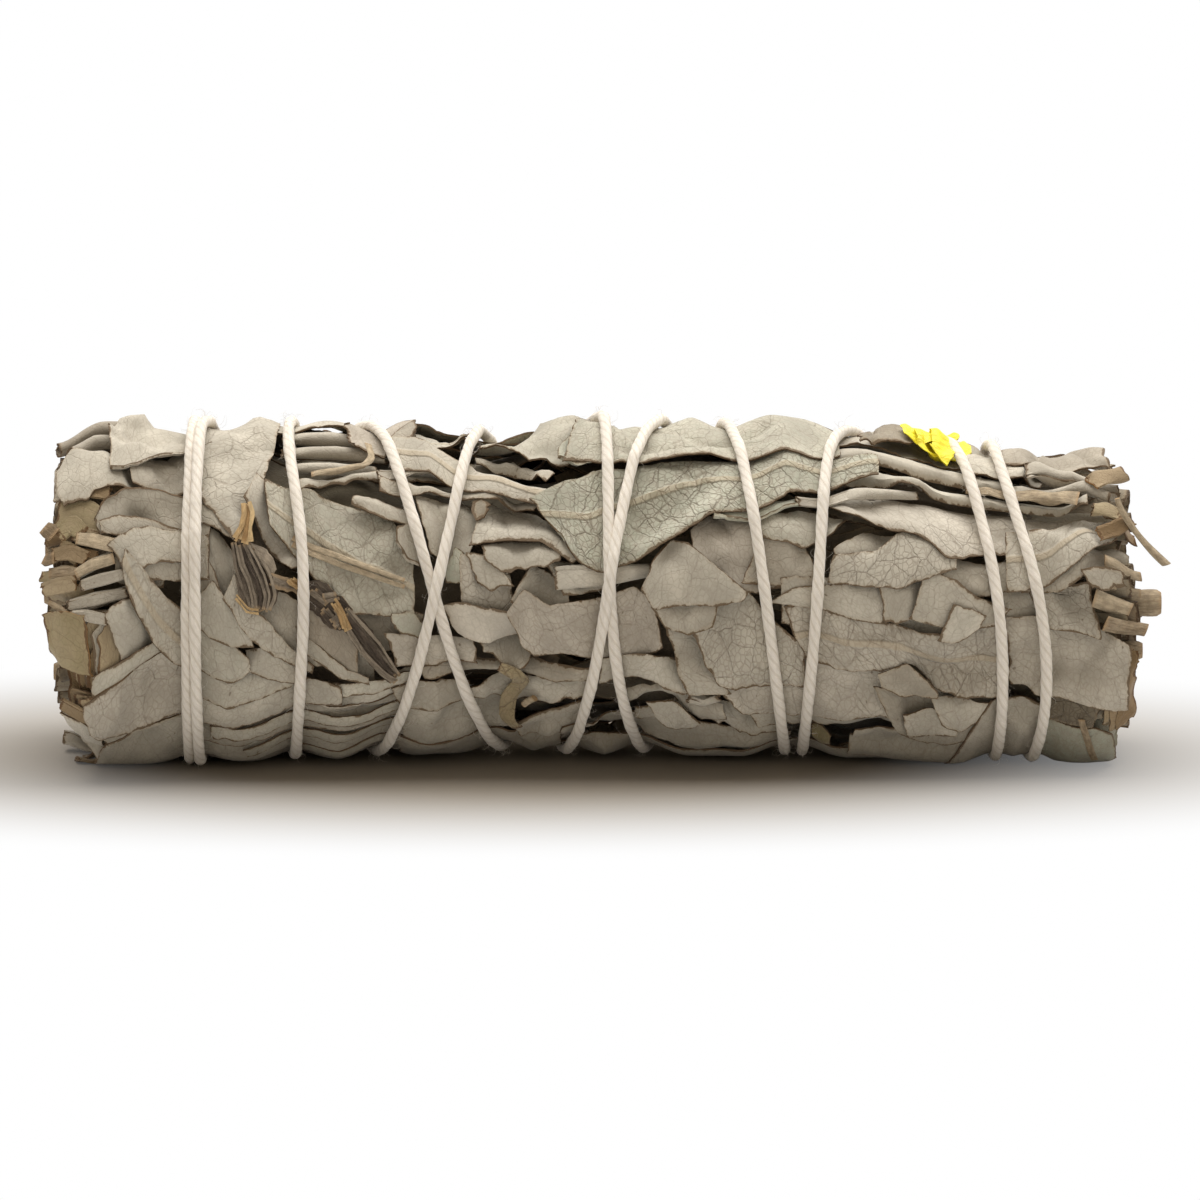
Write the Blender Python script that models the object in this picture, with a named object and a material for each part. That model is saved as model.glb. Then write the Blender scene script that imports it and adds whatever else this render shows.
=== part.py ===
"""White-sage smudge stick: dried sage leaves and stems packed lengthwise and bound with cotton string.

The bundle lies along X and rests on the plane z = 0. A place on it is given in millimetres along X and
in degrees round its axis: 0 faces -Y (the front), 90 is the top, 180 the back and -90 the underside.
Pieces are laid from the inside out, and each one lies a small gap above everything that is under it.
"""

import bpy
import bmesh
import numpy as np

MM = 0.001

# Driving dimensions of the bundle, in millimetres.
STATIONS = (-51, -38, -25, -13, 0, 15, 24, 31, 36, 44, 51)
RADII = (15.0, 15.3, 14.7, 14.2, 14.7, 15.0, 14.6, 14.2, 13.9, 13.5, 13.0)
AXIS_HEIGHTS = (14.7, 14.7, 15.0, 15.3, 15.5, 15.6, 15.2, 13.9, 13.6, 13.2, 12.9)
PACK_DEPTH = 2.5
LEFT_END = -48.0
RIGHT_END = 46.0
END_ROUNDING = 4.0
END_FALL = 0.07
END_BUMP = 0.25

# Thickness of a dried leaf, radius of the cotton string and the clearance between pieces.
LEAF_THICKNESS = 0.4
STRING_RADIUS = 0.48
KNOT_RADIUS = 1.3
GAP = 0.32

# Length on the surface of one degree round the bundle, and of one step along a leaf's mesh.
ARC_OF_DEGREE = 0.25
LEAF_STEP = 2.2

# Underside: the packed leaves reach the surface below over this angle, and the string is let into them.
UNDERSIDE_HALF_ANGLE = 18.0
UNDERSIDE_BLEND = 8.0
GROOVE_HALF_WIDTH = 1.5
GROOVE_SLOPE = 1.0
GROOVE_DEPTH = 2.6

# Spacing of the grid that remembers how high the bundle already reaches.
GRID_X = 0.5
GRID_ANGLE = 2.5

# Route of the string: the angle wound so far from the top, in degrees, and the place along the bundle.
# It starts at the knot behind, runs to the right end in open turns and comes back over itself.
STRING_ROUTE = (
    (-84, -38.2), (0, -38.1), (50, -38.4), (90, -38.4), (180, -38.5), (222, -38.3), (290, -29.0),
    (352, -21.0), (394, -18.9), (436, -15.7), (454, -14.9), (488, -12.1), (505, -10.7), (540, -9.3),
    (630, -4.6),
    (720, 0.3), (803, 0.3), (821, 0.5), (841, 1.3), (865, 2.6), (900, 3.9), (990, 7.8),
    (1080, 11.7), (1116, 12.7), (1160, 14.6), (1181, 15.1), (1201, 15.8), (1222, 16.5), (1260, 16.7),
    (1305, 16.8), (1360, 23.5),
    (1440, 32.5), (1476, 33.7), (1514, 36.0), (1538, 36.5), (1594, 36.0), (1620, 35.8), (1710, 34.4),
    (1800, 35.4), (1838, 36.9), (1876, 40.0), (1895, 40.6), (1912, 40.7), (1928, 40.2), (1954, 39.2),
    (1980, 38.8), (2022, 38.4), (2080, 29.5),
    (2170, 20.3), (2199, 19.9), (2243, 19.4), (2263, 18.9), (2286, 18.4), (2307, 18.1), (2340, 18.2),
    (2385, 18.2), (2430, 11.2),
    (2520, 3.9), (2556, 2.3), (2577, 1.1), (2608, 0.1), (2628, -0.7), (2648, -1.7), (2664, -2.6),
    (2700, -3.9), (2790, -8.0),
    (2891, -12.5), (2914, -13.0), (2937, -14.0), (2957, -15.2), (2988, -16.8), (3008, -18.3),
    (3024, -20.1), (3060, -21.5), (3150, -26.0),
    (3240, -29.8), (3280, -28.4), (3298, -27.2), (3313, -26.8), (3328, -27.1), (3346, -27.7),
    (3372, -28.1), (3420, -28.6), (3510, -33.2),
    (3600, -36.7), (3652, -36.9), (3744, -36.9), (3780, -36.9), (3858, -37.0),
)
STRING_POINTS_PER_TURN = 24


def smooth_step(t):
    """0 below 0, 1 above 1 and an even S between."""
    t = np.clip(t, 0.0, 1.0)
    return t * t * (3.0 - 2.0 * t)


def bundle_radius(x):
    """Radius of the finished bundle at x."""
    return np.interp(x, STATIONS, RADII)


def axis_height(x):
    """Height of the bundle's axis above the resting plane at x."""
    return np.interp(x, STATIONS, AXIS_HEIGHTS)


def place(x, angle, radius):
    """Points in metres for x, angle and radius; the arrays share one shape."""
    turn = np.radians(angle)
    return np.stack((x, -radius * np.cos(turn), axis_height(x) + radius * np.sin(turn)), axis=-1) * MM


def string_route():
    """Evenly spaced points of the string: wound angle and place along the bundle."""
    wound, along = np.array(STRING_ROUTE, dtype=float).T
    count = int((wound[-1] - wound[0]) / 360.0 * STRING_POINTS_PER_TURN)
    angle = np.linspace(wound[0], wound[-1], count)
    smoothed = np.interp(angle, wound, along)
    for _ in range(2):
        smoothed[1:-1] = (smoothed[:-2] + 2.0 * smoothed[1:-1] + smoothed[2:]) / 4.0
    return angle, smoothed


def facing(wound):
    """Angle round the bundle, from -180 to 180, of a wound angle counted from the top."""
    return (90.0 - wound + 180.0) % 360.0 - 180.0


def pack_radius(x, angle):
    """Radius of the packed inner leaves: round, flat underneath, let in under the string, rounded ends."""
    below = np.abs((angle + 90.0 + 180.0) % 360.0 - 180.0)
    above = smooth_step((below - UNDERSIDE_HALF_ANGLE) / UNDERSIDE_BLEND)
    floor = axis_height(x) / np.maximum(-np.sin(np.radians(angle)), 0.05)
    radius = np.minimum(bundle_radius(x) - PACK_DEPTH * above, floor)
    wound, along = string_route()
    first_turn = (90.0 - angle) % 360.0
    for turn in range(-1, 11):
        here = np.interp(first_turn + 360.0 * turn, wound, along)
        inside = smooth_step((GROOVE_HALF_WIDTH + GROOVE_SLOPE - np.abs(x - here)) / GROOVE_SLOPE)
        radius = np.minimum(radius, floor - GROOVE_DEPTH * inside)
    beyond = np.maximum(LEFT_END + END_ROUNDING - x, x - RIGHT_END + END_ROUNDING)
    return radius - END_FALL * np.maximum(beyond, 0.0) ** 2


class Surface:
    """How high the bundle reaches, on a grid over its length and round it."""

    def __init__(self):
        self.x = np.arange(-54.0, 54.0 + GRID_X, GRID_X)
        self.angle = np.arange(-180.0, 180.0, GRID_ANGLE)
        grid_x, grid_angle = np.meshgrid(self.x, self.angle, indexing="ij")
        self.height = pack_radius(grid_x, grid_angle)

    def cells(self, x, angle):
        """Nearest grid cell of each point."""
        column = np.clip(np.rint((x - self.x[0]) / GRID_X).astype(int), 0, len(self.x) - 1)
        row = np.rint((angle + 180.0) / GRID_ANGLE).astype(int) % len(self.angle)
        return column, row

    def highest(self, x, angle, reach=0.0):
        """Greatest height within `reach` millimetres of each point."""
        column, row = self.cells(x, angle)
        reach_rows = int(np.ceil(reach / ARC_OF_DEGREE / GRID_ANGLE))
        reach_columns = int(np.ceil(reach / GRID_X))
        found = np.zeros(np.shape(x))
        for step_x in range(-reach_columns, reach_columns + 1):
            near = np.clip(column + step_x, 0, len(self.x) - 1)
            for step_angle in range(-reach_rows, reach_rows + 1):
                found = np.maximum(found, self.height[near, (row + step_angle) % len(self.angle)])
        return found

    def cover(self, x, angle, radius):
        """Raise the surface to `radius` at the points."""
        column, row = self.cells(x, angle)
        for step_x in (-1, 0, 1):
            near = np.clip(column + step_x, 0, len(self.x) - 1)
            for step_angle in (-1, 0, 1):
                np.maximum.at(self.height, (near, (row + step_angle) % len(self.angle)), radius)


surface = Surface()


def dried_material(name, colour, roughness):
    """Matt material of one colour."""
    material = bpy.data.materials.new(name)
    material.use_nodes = True
    shader = material.node_tree.nodes["Principled BSDF"]
    shader.inputs["Base Color"].default_value = (*colour, 1.0)
    shader.inputs["Roughness"].default_value = roughness
    shader.inputs["Metallic"].default_value = 0.0
    return material


def add_object(name, mesh, material):
    """Put a mesh in the scene as a named object with one material, shaded smooth between sharp edges."""
    mesh.materials.append(material)
    mesh.shade_smooth()
    mesh.set_sharp_from_angle(angle=np.radians(40.0))
    part = bpy.data.objects.new(name, mesh)
    bpy.context.scene.collection.objects.link(part)
    return part


def bmesh_grid(points, wrap):
    """A bmesh of quads over a grid of points, joined round its second direction when wrap is set."""
    build = bmesh.new()
    rows, columns = points.shape[:2]
    vertices = [[build.verts.new(points[i, j]) for j in range(columns)] for i in range(rows)]
    for i in range(rows - 1):
        for j in range(columns if wrap else columns - 1):
            k = (j + 1) % columns
            build.faces.new((vertices[i][j], vertices[i + 1][j], vertices[i + 1][k], vertices[i][k]))
    return build, vertices


def finish_solid(build, name, material):
    """Turn a closed bmesh's faces outward and make it an object."""
    bmesh.ops.recalc_face_normals(build, faces=build.faces)
    mesh = bpy.data.meshes.new(name)
    build.to_mesh(mesh)
    build.free()
    return add_object(name, mesh, material)


def smooth_line(points, count):
    """`count` points along a line of hand-set points, rounded where it bends."""
    fixed = np.array(points, dtype=float)
    steps = np.hypot(np.diff(fixed[:, 0]), np.diff(fixed[:, 1]) * ARC_OF_DEGREE)
    step = np.concatenate(([0.0], np.cumsum(steps)))
    fine = np.linspace(0.0, step[-1], 41)
    line = np.stack([np.interp(fine, step, fixed[:, k]) for k in (0, 1)], axis=-1)
    for _ in range(6):
        line[1:-1] = (line[:-2] + 2.0 * line[1:-1] + line[2:]) / 4.0
    pick = np.linspace(0.0, step[-1], count)
    return np.stack([np.interp(pick, fine, line[:, k]) for k in (0, 1)], axis=-1)


def spread(grid, weights_u, weights_v):
    """A grid's values between its points, linear in both directions."""
    return weights_u @ grid @ weights_v.T


def between(count, share):
    """Weights that read a row of `count` values at the places `share`, from 0 to 1, between them."""
    place_in_row = share * (count - 1)
    return np.maximum(1.0 - np.abs(place_in_row[:, None] - np.arange(count)[None, :]), 0.0)


def resting_height(x, angle):
    """Lowest radii that keep the sheet over a grid of points a gap above all that is under it."""
    weights_u = between(x.shape[0], np.linspace(0.0, 1.0, 10 * x.shape[0]))
    weights_v = between(x.shape[1], np.linspace(0.0, 1.0, 12 * x.shape[1]))
    fine_x = spread(x, weights_u, weights_v)
    fine_angle = spread(angle, weights_u, weights_v)
    needed = surface.highest(fine_x, fine_angle) + GAP
    height = surface.highest(x, angle) + GAP
    for _ in range(12):
        short = needed - spread(height, weights_u, weights_v)
        lift = np.zeros(height.shape)
        for i in range(height.shape[0]):
            for j in range(height.shape[1]):
                share = weights_u[:, i][:, None] * weights_v[:, j][None, :]
                lift[i, j] = np.max(short * share)
        height += np.maximum(lift, 0.0)
    return height, (fine_x, fine_angle), (weights_u, weights_v)


def lay_leaf(name, upper, lower, arch=0.2, across=4, material=None):
    """A dried leaf between its upper and lower edges, each a few points of (x, angle), laid on the bundle.

    The sheet rests a gap above all that is under it, with its middle raised by `arch` millimetres, and is
    a leaf's thickness deep.
    """
    outline = np.array(upper + lower, dtype=float)
    length = max(np.ptp(outline[:, 0]), ARC_OF_DEGREE * np.ptp(outline[:, 1]))
    along = int(np.clip(round(length / LEAF_STEP), 4, 9)) + 1
    top = smooth_line(upper, along)
    bottom = smooth_line(lower, along)
    v = np.linspace(0.0, 1.0, across)[None, :]
    x = top[:, :1] * (1.0 - v) + bottom[:, :1] * v
    angle = top[:, 1:] * (1.0 - v) + bottom[:, 1:] * v
    inner, fine_places, weights = resting_height(x, angle)
    inner = inner + arch * 4.0 * v * (1.0 - v)
    outer = inner + LEAF_THICKNESS
    build, low = bmesh_grid(place(x, angle, inner), wrap=False)
    high = [[build.verts.new(p) for p in row] for row in place(x, angle, outer)]
    for i in range(along - 1):
        for j in range(across - 1):
            build.faces.new((high[i][j], high[i][j + 1], high[i + 1][j + 1], high[i + 1][j]))
    for i in range(along - 1):
        for j in (0, across - 1):
            build.faces.new((low[i][j], low[i + 1][j], high[i + 1][j], high[i][j]))
    for j in range(across - 1):
        for i in (0, along - 1):
            build.faces.new((low[i][j], low[i][j + 1], high[i][j + 1], high[i][j]))
    surface.cover(*fine_places, spread(outer, *weights))
    return finish_solid(build, name, material or LEAF)


def tube(name, centres, radii, sides, material):
    """A round solid along a line of centres in metres, with a radius in millimetres at each, closed ends."""
    tangent = np.gradient(centres, axis=0)
    tangent /= np.linalg.norm(tangent, axis=1, keepdims=True)
    side = np.cross(tangent, (0.0, 1.0, 0.0))
    side /= np.linalg.norm(side, axis=1, keepdims=True)
    over = np.cross(side, tangent)
    turn = np.arange(sides) / sides * 2.0 * np.pi
    ring = np.cos(turn)[None, :, None] * side[:, None] + np.sin(turn)[None, :, None] * over[:, None]
    points = centres[:, None] + ring * (np.array(radii) * MM)[:, None, None]
    build, rings = bmesh_grid(points, wrap=True)
    build.faces.new(rings[0])
    build.faces.new(rings[-1])
    return finish_solid(build, name, material)


def packed_leaves():
    """The packed inner leaves and stems, one solid with a grooved underside and uneven ends."""
    sides = 36
    angle = np.arange(sides) * 360.0 / sides - 180.0
    stations = np.unique(np.concatenate((
        np.linspace(LEFT_END, LEFT_END + END_ROUNDING, 3),
        np.linspace(LEFT_END + END_ROUNDING, RIGHT_END - END_ROUNDING, 45),
        np.linspace(RIGHT_END - END_ROUNDING, RIGHT_END, 3),
    )))
    grid_x, grid_angle = np.meshgrid(stations, angle, indexing="ij")
    points = place(grid_x, grid_angle, pack_radius(grid_x, grid_angle))
    build, rings = bmesh_grid(points, wrap=True)
    for ring, x, out in ((rings[0], LEFT_END, -1.0), (rings[-1], RIGHT_END, 1.0)):
        previous = ring
        for share in (0.72, 0.42, 0.16):
            bump = out * END_BUMP * (1.0 + np.sin(3.0 * np.radians(angle) + 9.0 * share))
            radius = pack_radius(np.full(sides, x), angle) * share
            inner = [build.verts.new(p) for p in place(x + bump, angle, radius)]
            for j in range(sides):
                k = (j + 1) % sides
                build.faces.new((previous[j], previous[k], inner[k], inner[j]))
            previous = inner
        build.faces.new(previous)
    return finish_solid(build, "packed_leaves", LEAF_INNER)


def end_stems():
    """Cut stems that stand out of the two ends: height over the axis, distance in front, reach, radius."""
    left = ((5.8, 8.5, 2.2, 1.0), (1.6, 8.2, 2.35, 1.1), (-6.4, 4.0, 1.8, 1.0), (3.0, -5.0, 2.1, 1.1))
    right = ((2.0, 6.0, 4.1, 1.3), (-2.2, 7.0, 2.4, 0.9), (1.0, -5.5, 2.1, 1.0))
    for side, stems, end, out in (("left", left, LEFT_END, -1.0), ("right", right, RIGHT_END, 1.0)):
        for number, (height, front, reach, radius) in enumerate(stems, start=1):
            start = end + out * (2.0 * END_BUMP + GAP)
            x = start + out * np.linspace(0.0, reach, 3)
            lean = out * 0.06 * (x - start)
            line = np.stack((x, -front + lean, axis_height(x) + height + lean), axis=-1) * MM
            tube(f"stem_{side}_{number}", line, (radius, radius * 1.04, radius * 0.94), 8, STEM)


def left_end_leaves():
    """Leaves that end at the left, in the order in which they lie on each other."""
    lay_leaf("leaf_left_ragged", ((-50.4, 57), (-48, 66), (-43, 57)), ((-50, 44), (-47, 46), (-42, 50)))
    lay_leaf("leaf_left_mouth", ((-48, 40), (-44.5, 48), (-37, 48)),
             ((-47.5, 32), (-43, 34), (-37, 31)), 0.25)
    lay_leaf("leaf_left_corner", ((-48.5, 27), (-43, 32), (-36.5, 31)), ((-48.5, 12), (-42, 17), (-36.5, 20)))
    lay_leaf("leaf_left_block", ((-50.6, -8), (-48, -5), (-44, 6)), ((-50.6, -24), (-47, -24), (-43, -10)))
    lay_leaf("leaf_left_long_fold", ((-43.5, 22), (-40, 9), (-36.5, -3)),
             ((-43.5, 13), (-41, -4), (-37.5, -18)), 0.35)
    lay_leaf("leaf_left_veined", ((-47.5, -25), (-44, -17), (-40.5, -9), (-36, -13)),
             ((-47, -35), (-43, -36), (-36, -31)), 0.2)
    lay_leaf("leaf_left_low", ((-47.5, -56), (-45, -45), (-40, -40), (-37, -37)),
             ((-47, -61), (-43, -60), (-37, -51)))
    lay_leaf("leaf_left_cut", ((-45.5, 84), (-44, 102), (-40, 106), (-36, 104)),
             ((-44.5, 58), (-42, 62), (-38, 74), (-36, 80)))


def first_span_leaves():
    """Leaves between the double string at the left and the pair that crosses beside it."""
    lay_leaf("leaf_roll_low_left", ((-35, -40), (-28, -36), (-20, -33)),
             ((-35, -57), (-28, -60), (-20, -58)), 0.35)
    lay_leaf("leaf_roll_left", ((-36, -28), (-28, -24), (-18, -21)),
             ((-36, -38), (-28, -35), (-18, -32)), 0.35)
    lay_leaf("leaf_low_tip", ((-37, 10), (-34, 5), (-32, -11)), ((-37, -18), (-34.5, -20), (-32, -16)))
    lay_leaf("leaf_low_lens", ((-33.5, 16), (-31, 3), (-27, -16)),
             ((-34, 6), (-30.5, -10), (-27.5, -20)), 0.25)
    lay_leaf("leaf_diamond", ((-31, 52), (-25, 46), (-18, 34)), ((-29, 22), (-24, 6), (-17.5, 2)), 0.35, 5)
    lay_leaf("leaf_big_torn", ((-36, 96), (-32.5, 104), (-30, 102)),
             ((-37, 45), (-34, 34), (-32, 52)), 0.2, 5)
    lay_leaf("leaf_top_rolls", ((-29, 96), (-25, 102), (-18, 98)), ((-29, 60), (-24, 61), (-18, 66)), 0.35)
    lay_leaf("leaf_top_strip", ((-28, 57), (-22, 58), (-14, 68)), ((-28, 50), (-22, 53), (-14, 58)))


def middle_leaves():
    """Leaves of the middle, between the two crossings of the string."""
    lay_leaf("leaf_long_roll", ((-18, 82), (-13, 66), (-4.5, 47)), ((-18, 60), (-12.5, 51), (-6.5, 42)), 0.35)
    lay_leaf("leaf_top_torn", ((-12, 92), (-6, 104), (-0.5, 104)), ((-11, 73), (-6.5, 63), (-1, 72)))
    lay_leaf("leaf_under_long", ((-16.5, -18), (-9, -18), (-1.5, -21)), ((-16, -38), (-9, -38), (-1.5, -34)))
    lay_leaf("leaf_under_low", ((-18.5, -40), (-12, -38), (-3, -40)), ((-18.5, -56), (-12, -58), (-3, -56)))
    lay_leaf("leaf_mid_block", ((-13.5, 21), (-11, 20), (-6, 17)), ((-13, 0), (-9, 1), (-3.5, 5)))
    lay_leaf("leaf_mid_folded", ((-11, 45), (-6.5, 41), (-2.5, 21)), ((-12, 26), (-7, 27), (-3.5, 17)))
    lay_leaf("leaf_pale_cracked", ((-14.5, 3), (-10, 3), (-6.5, -3)), ((-19, -14), (-13, -16), (-8, -14)))
    lay_leaf("leaf_beige_middle", ((-8, 1), (-5, 3), (3, 9)), ((-7, -12), (-1, -17), (5, -10)), 0.25)
    lay_leaf("leaf_under_right", ((0, -18), (4, -14), (10, -28)), ((0, -42), (5, -44), (11, -42)))


def right_leaves():
    """Leaves to the right of the middle crossing."""
    lay_leaf("leaf_arched", ((4.5, 17), (7, 26), (12.5, 8)), ((3.5, 8), (7, 8), (12, 5)), 0.25)
    lay_leaf("leaf_scalloped", ((8, -2), (12.5, 7), (18, -14)), ((7.5, -27), (12, -26), (18, -27)), 0.2)
    lay_leaf("leaf_low_large", ((12, -28), (19, -16), (26, -16)), ((13, -46), (19, -46), (27, -43)), 0.25)
    lay_leaf("leaf_folded_low", ((16.5, 2), (24, -1), (35, 2)), ((18, -14), (26, -20), (35, -26)), 0.25)
    lay_leaf("leaf_broad_right", ((36, 6), (41, 8), (47.5, -6)), ((36.5, -22), (42, -26), (47.5, -34)), 0.2)
    lay_leaf("leaf_end_low", ((40, -42), (44, -38), (47, -44)), ((40, -60), (44, -62), (46.5, -60)))
    lay_leaf("leaf_right_veined", ((21, 22), (27, 31), (36, 26)), ((20.5, 12), (28, 9), (36, 8)))
    lay_leaf("leaf_right_pale", ((20.5, 44), (29, 51), (42.5, 50)), ((22, 36), (31, 28), (38, 36)))
    lay_leaf("leaf_right_folded", ((38, 40), (42.5, 49), (46.5, 55)), ((38, 16), (42, 20), (47.5, 37)), 0.25)


def top_right_leaves():
    """The long green-grey leaves along the upper right."""
    lay_leaf("leaf_green_long", ((-6, 42), (1, 58), (11, 61), (20, 63)),
             ((-3, 20), (5, 27), (13, 40), (20, 52)), 0.25, 5)
    lay_leaf("leaf_top_lines", ((17.5, 76), (27, 75), (36, 71)), ((17.5, 55), (27, 55), (36, 53)), 0.2)
    lay_leaf("leaf_top_right_end", ((37, 82), (42, 88), (46.5, 86)), ((37, 60), (42, 60), (47.5, 58)))
    lay_leaf("leaf_top_middle", ((-2, 84), (4, 96), (16, 100)), ((-3, 60), (6, 62), (16, 64)), 0.2)


def back_leaves():
    """Leaves of the back: four overlapping rows of two, pointed at both ends."""
    rows = ((126, 20), (158, 21), (-169, 21), (-138, 17))
    for row, (middle, half) in enumerate(rows):
        for number in range(2):
            start = -49.0 + 46.0 * number + 3.0 * (row % 2)
            end = min(start + 50.0, 47.5)
            slant = 6.0 * (-1.0) ** (row + number)
            upper = ((start, middle + 0.6 * half), (start + 20.0, middle + half),
                     (end, middle + 0.4 * half + slant))
            lower = ((start, middle - 0.6 * half), (start + 26.0, middle - half),
                     (end, middle - 0.4 * half + slant))
            lay_leaf(f"leaf_back_{row + 1}_{number + 1}", upper, lower, 0.4)


def lay_twig(name, route, material, sides=8):
    """A piece of woody stem laid on the bundle along points of (x, angle, radius)."""
    x, angle, radius = np.array(route, dtype=float).T
    height = surface.highest(x, angle, radius.max() + 0.6) + GAP + radius + 0.1
    for _ in range(2):
        height[1:-1] = np.maximum(height[1:-1], (height[:-2] + 2.0 * height[1:-1] + height[2:]) / 4.0)
    fine = np.linspace(0.0, len(x) - 1.0, 12 * len(x))
    count = np.arange(len(x))
    for offset in (-1.0, 0.0, 1.0):
        line_x = np.interp(fine, count, x + offset * radius)
        surface.cover(line_x, np.interp(fine, count, angle), np.interp(fine, count, height + radius))
    return tube(name, place(x, angle, height), radius, sides, material)


def bark_twig():
    """A short brown twig with a frayed tip, and the strip of bark that has come off it."""
    lay_twig("bark_twig", ((-32.6, 41, 0.6), (-32.7, 34, 0.9), (-32.2, 26, 1.2), (-31.2, 18, 1.3),
                           (-30.5, 11, 1.25), (-30.8, 4, 1.0)), BARK)
    lay_twig("bark_strip", ((-26.0, 9, 0.7), (-24.4, 3, 1.0), (-22.6, -2, 1.0), (-20.9, -9, 0.9),
                            (-19.5, -17, 0.7)), BARK)


def yellow_petals():
    """The crumpled yellow petals tucked under the string on top."""
    lay_leaf("yellow_petals", ((27.3, 92), (29.8, 100), (31.5, 94)),
             ((27.6, 76), (29.4, 67), (31.5, 76)), 0.8,
             material=PETAL)


def wind_string():
    """The cotton string: laid along its route, each turn over those before it, straight over hollows."""
    wound, x = string_route()
    angle = facing(wound)
    height = surface.highest(x, angle, STRING_RADIUS + 0.2) + GAP + STRING_RADIUS
    centre_gap = 2.0 * STRING_RADIUS + GAP
    for point in range(len(x)):
        fine = np.arange(0.0, point - STRING_POINTS_PER_TURN / 2.0, 0.125)
        count = np.arange(len(x))
        apart_x = np.interp(fine, count, x) - x[point]
        apart_round = np.radians((np.interp(fine, count, wound) - wound[point] + 180.0) % 360.0 - 180.0)
        apart = np.hypot(apart_x, apart_round * height[point])
        crossed = apart < centre_gap
        if np.any(crossed):
            rise = np.sqrt(centre_gap ** 2 - apart[crossed] ** 2)
            height[point] = max(height[point], np.max(np.interp(fine, count, height)[crossed] + rise))
    chord = np.cos(np.radians(360.0 / STRING_POINTS_PER_TURN))
    for _ in range(5):
        height[1:-1] = np.maximum(height[1:-1], chord * (height[:-2] + height[2:]) / 2.0)
    cord = bpy.data.curves.new("binding_string", "CURVE")
    cord.dimensions = "3D"
    cord.bevel_depth = STRING_RADIUS * MM
    cord.bevel_resolution = 1
    cord.use_fill_caps = True
    line = cord.splines.new("POLY")
    line.points.add(len(x) - 1)
    line.points.foreach_set("co", np.insert(place(x, angle, height), 3, 1.0, axis=1).ravel())
    cord.materials.append(COTTON)
    string = bpy.data.objects.new("binding_string", cord)
    bpy.context.scene.collection.objects.link(string)
    return string


def string_knot():
    """The pulled-tight knot behind, between the string's two ends."""
    x, angle = np.array([-37.5]), np.array([-177.0])
    radius = surface.highest(x, angle, KNOT_RADIUS) + GAP + 0.8 * KNOT_RADIUS
    build = bmesh.new()
    bmesh.ops.create_icosphere(build, subdivisions=2, radius=KNOT_RADIUS * MM)
    bmesh.ops.scale(build, vec=(1.25, 0.8, 1.0), verts=build.verts)
    bmesh.ops.translate(build, vec=place(x, angle, radius)[0], verts=build.verts)
    return finish_solid(build, "string_knot", COTTON)


def stray_stem():
    """A thin stem that has slipped out of the right end and hangs down beside it."""
    line = np.array(((48.2, -9.8, 23.2), (49.1, -9.8, 21.6), (49.9, -9.7, 19.4), (51.1, -9.6, 18.3)))
    tube("stray_stem", line * MM, (0.35, 0.45, 0.45, 0.35), 6, STEM)


for old in list(bpy.data.objects):
    bpy.data.objects.remove(old, do_unlink=True)

LEAF = dried_material("sage_leaf", (0.45, 0.40, 0.31), 0.85)
LEAF_INNER = dried_material("packed_leaf", (0.30, 0.26, 0.19), 0.9)
STEM = dried_material("dry_stem", (0.33, 0.25, 0.15), 0.8)
BARK = dried_material("twig_bark", (0.19, 0.14, 0.10), 0.9)
PETAL = dried_material("petal", (0.78, 0.66, 0.03), 0.35)
COTTON = dried_material("cotton", (0.74, 0.68, 0.57), 0.9)

packed_leaves()
end_stems()
back_leaves()
left_end_leaves()
first_span_leaves()
middle_leaves()
right_leaves()
top_right_leaves()
bark_twig()
yellow_petals()
stray_stem()
wind_string()
string_knot()
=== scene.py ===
import bpy
import numpy as np
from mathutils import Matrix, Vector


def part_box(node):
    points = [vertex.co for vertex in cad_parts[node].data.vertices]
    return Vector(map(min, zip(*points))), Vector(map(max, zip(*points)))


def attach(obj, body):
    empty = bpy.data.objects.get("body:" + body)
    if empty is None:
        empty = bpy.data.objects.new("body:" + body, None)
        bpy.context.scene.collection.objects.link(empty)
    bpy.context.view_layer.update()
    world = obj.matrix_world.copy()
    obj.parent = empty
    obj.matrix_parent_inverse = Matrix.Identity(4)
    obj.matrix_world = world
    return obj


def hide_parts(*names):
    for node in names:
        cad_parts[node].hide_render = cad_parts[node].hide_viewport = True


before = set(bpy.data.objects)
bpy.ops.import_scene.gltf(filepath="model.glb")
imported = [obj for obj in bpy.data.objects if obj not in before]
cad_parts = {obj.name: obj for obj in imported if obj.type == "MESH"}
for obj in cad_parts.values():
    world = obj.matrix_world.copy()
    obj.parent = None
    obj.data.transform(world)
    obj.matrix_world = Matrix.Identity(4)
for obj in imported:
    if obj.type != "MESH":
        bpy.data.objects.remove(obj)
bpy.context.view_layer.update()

# Form of the bundle. A round bundle, slightly squeezed by its string, lies on its two ends: its radius and
# the height of its axis are given along X in millimetres. A place on it is (x, angle, radius), with the
# angle in degrees: 0 faces the front (-Y), 90 is the top, 180 the back and -90 the underside.
MM = 0.001
STATIONS = (-51, -38, -25, -13, 0, 15, 24, 31, 36, 44, 51)
RADII = (15.0, 15.3, 14.7, 14.2, 14.7, 15.0, 14.6, 14.2, 13.9, 13.5, 13.0)
AXIS_HEIGHTS = (14.7, 14.7, 15.0, 15.3, 15.5, 15.6, 15.2, 13.9, 13.6, 13.2, 12.9)
MEAN_RADIUS = 14.6
FLOOR_SOFTNESS = 0.2
END_ROUNDING = 2.5
END_FALL = 0.12
LEFT_END, RIGHT_END = (corner.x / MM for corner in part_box("packed_leaves"))

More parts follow.
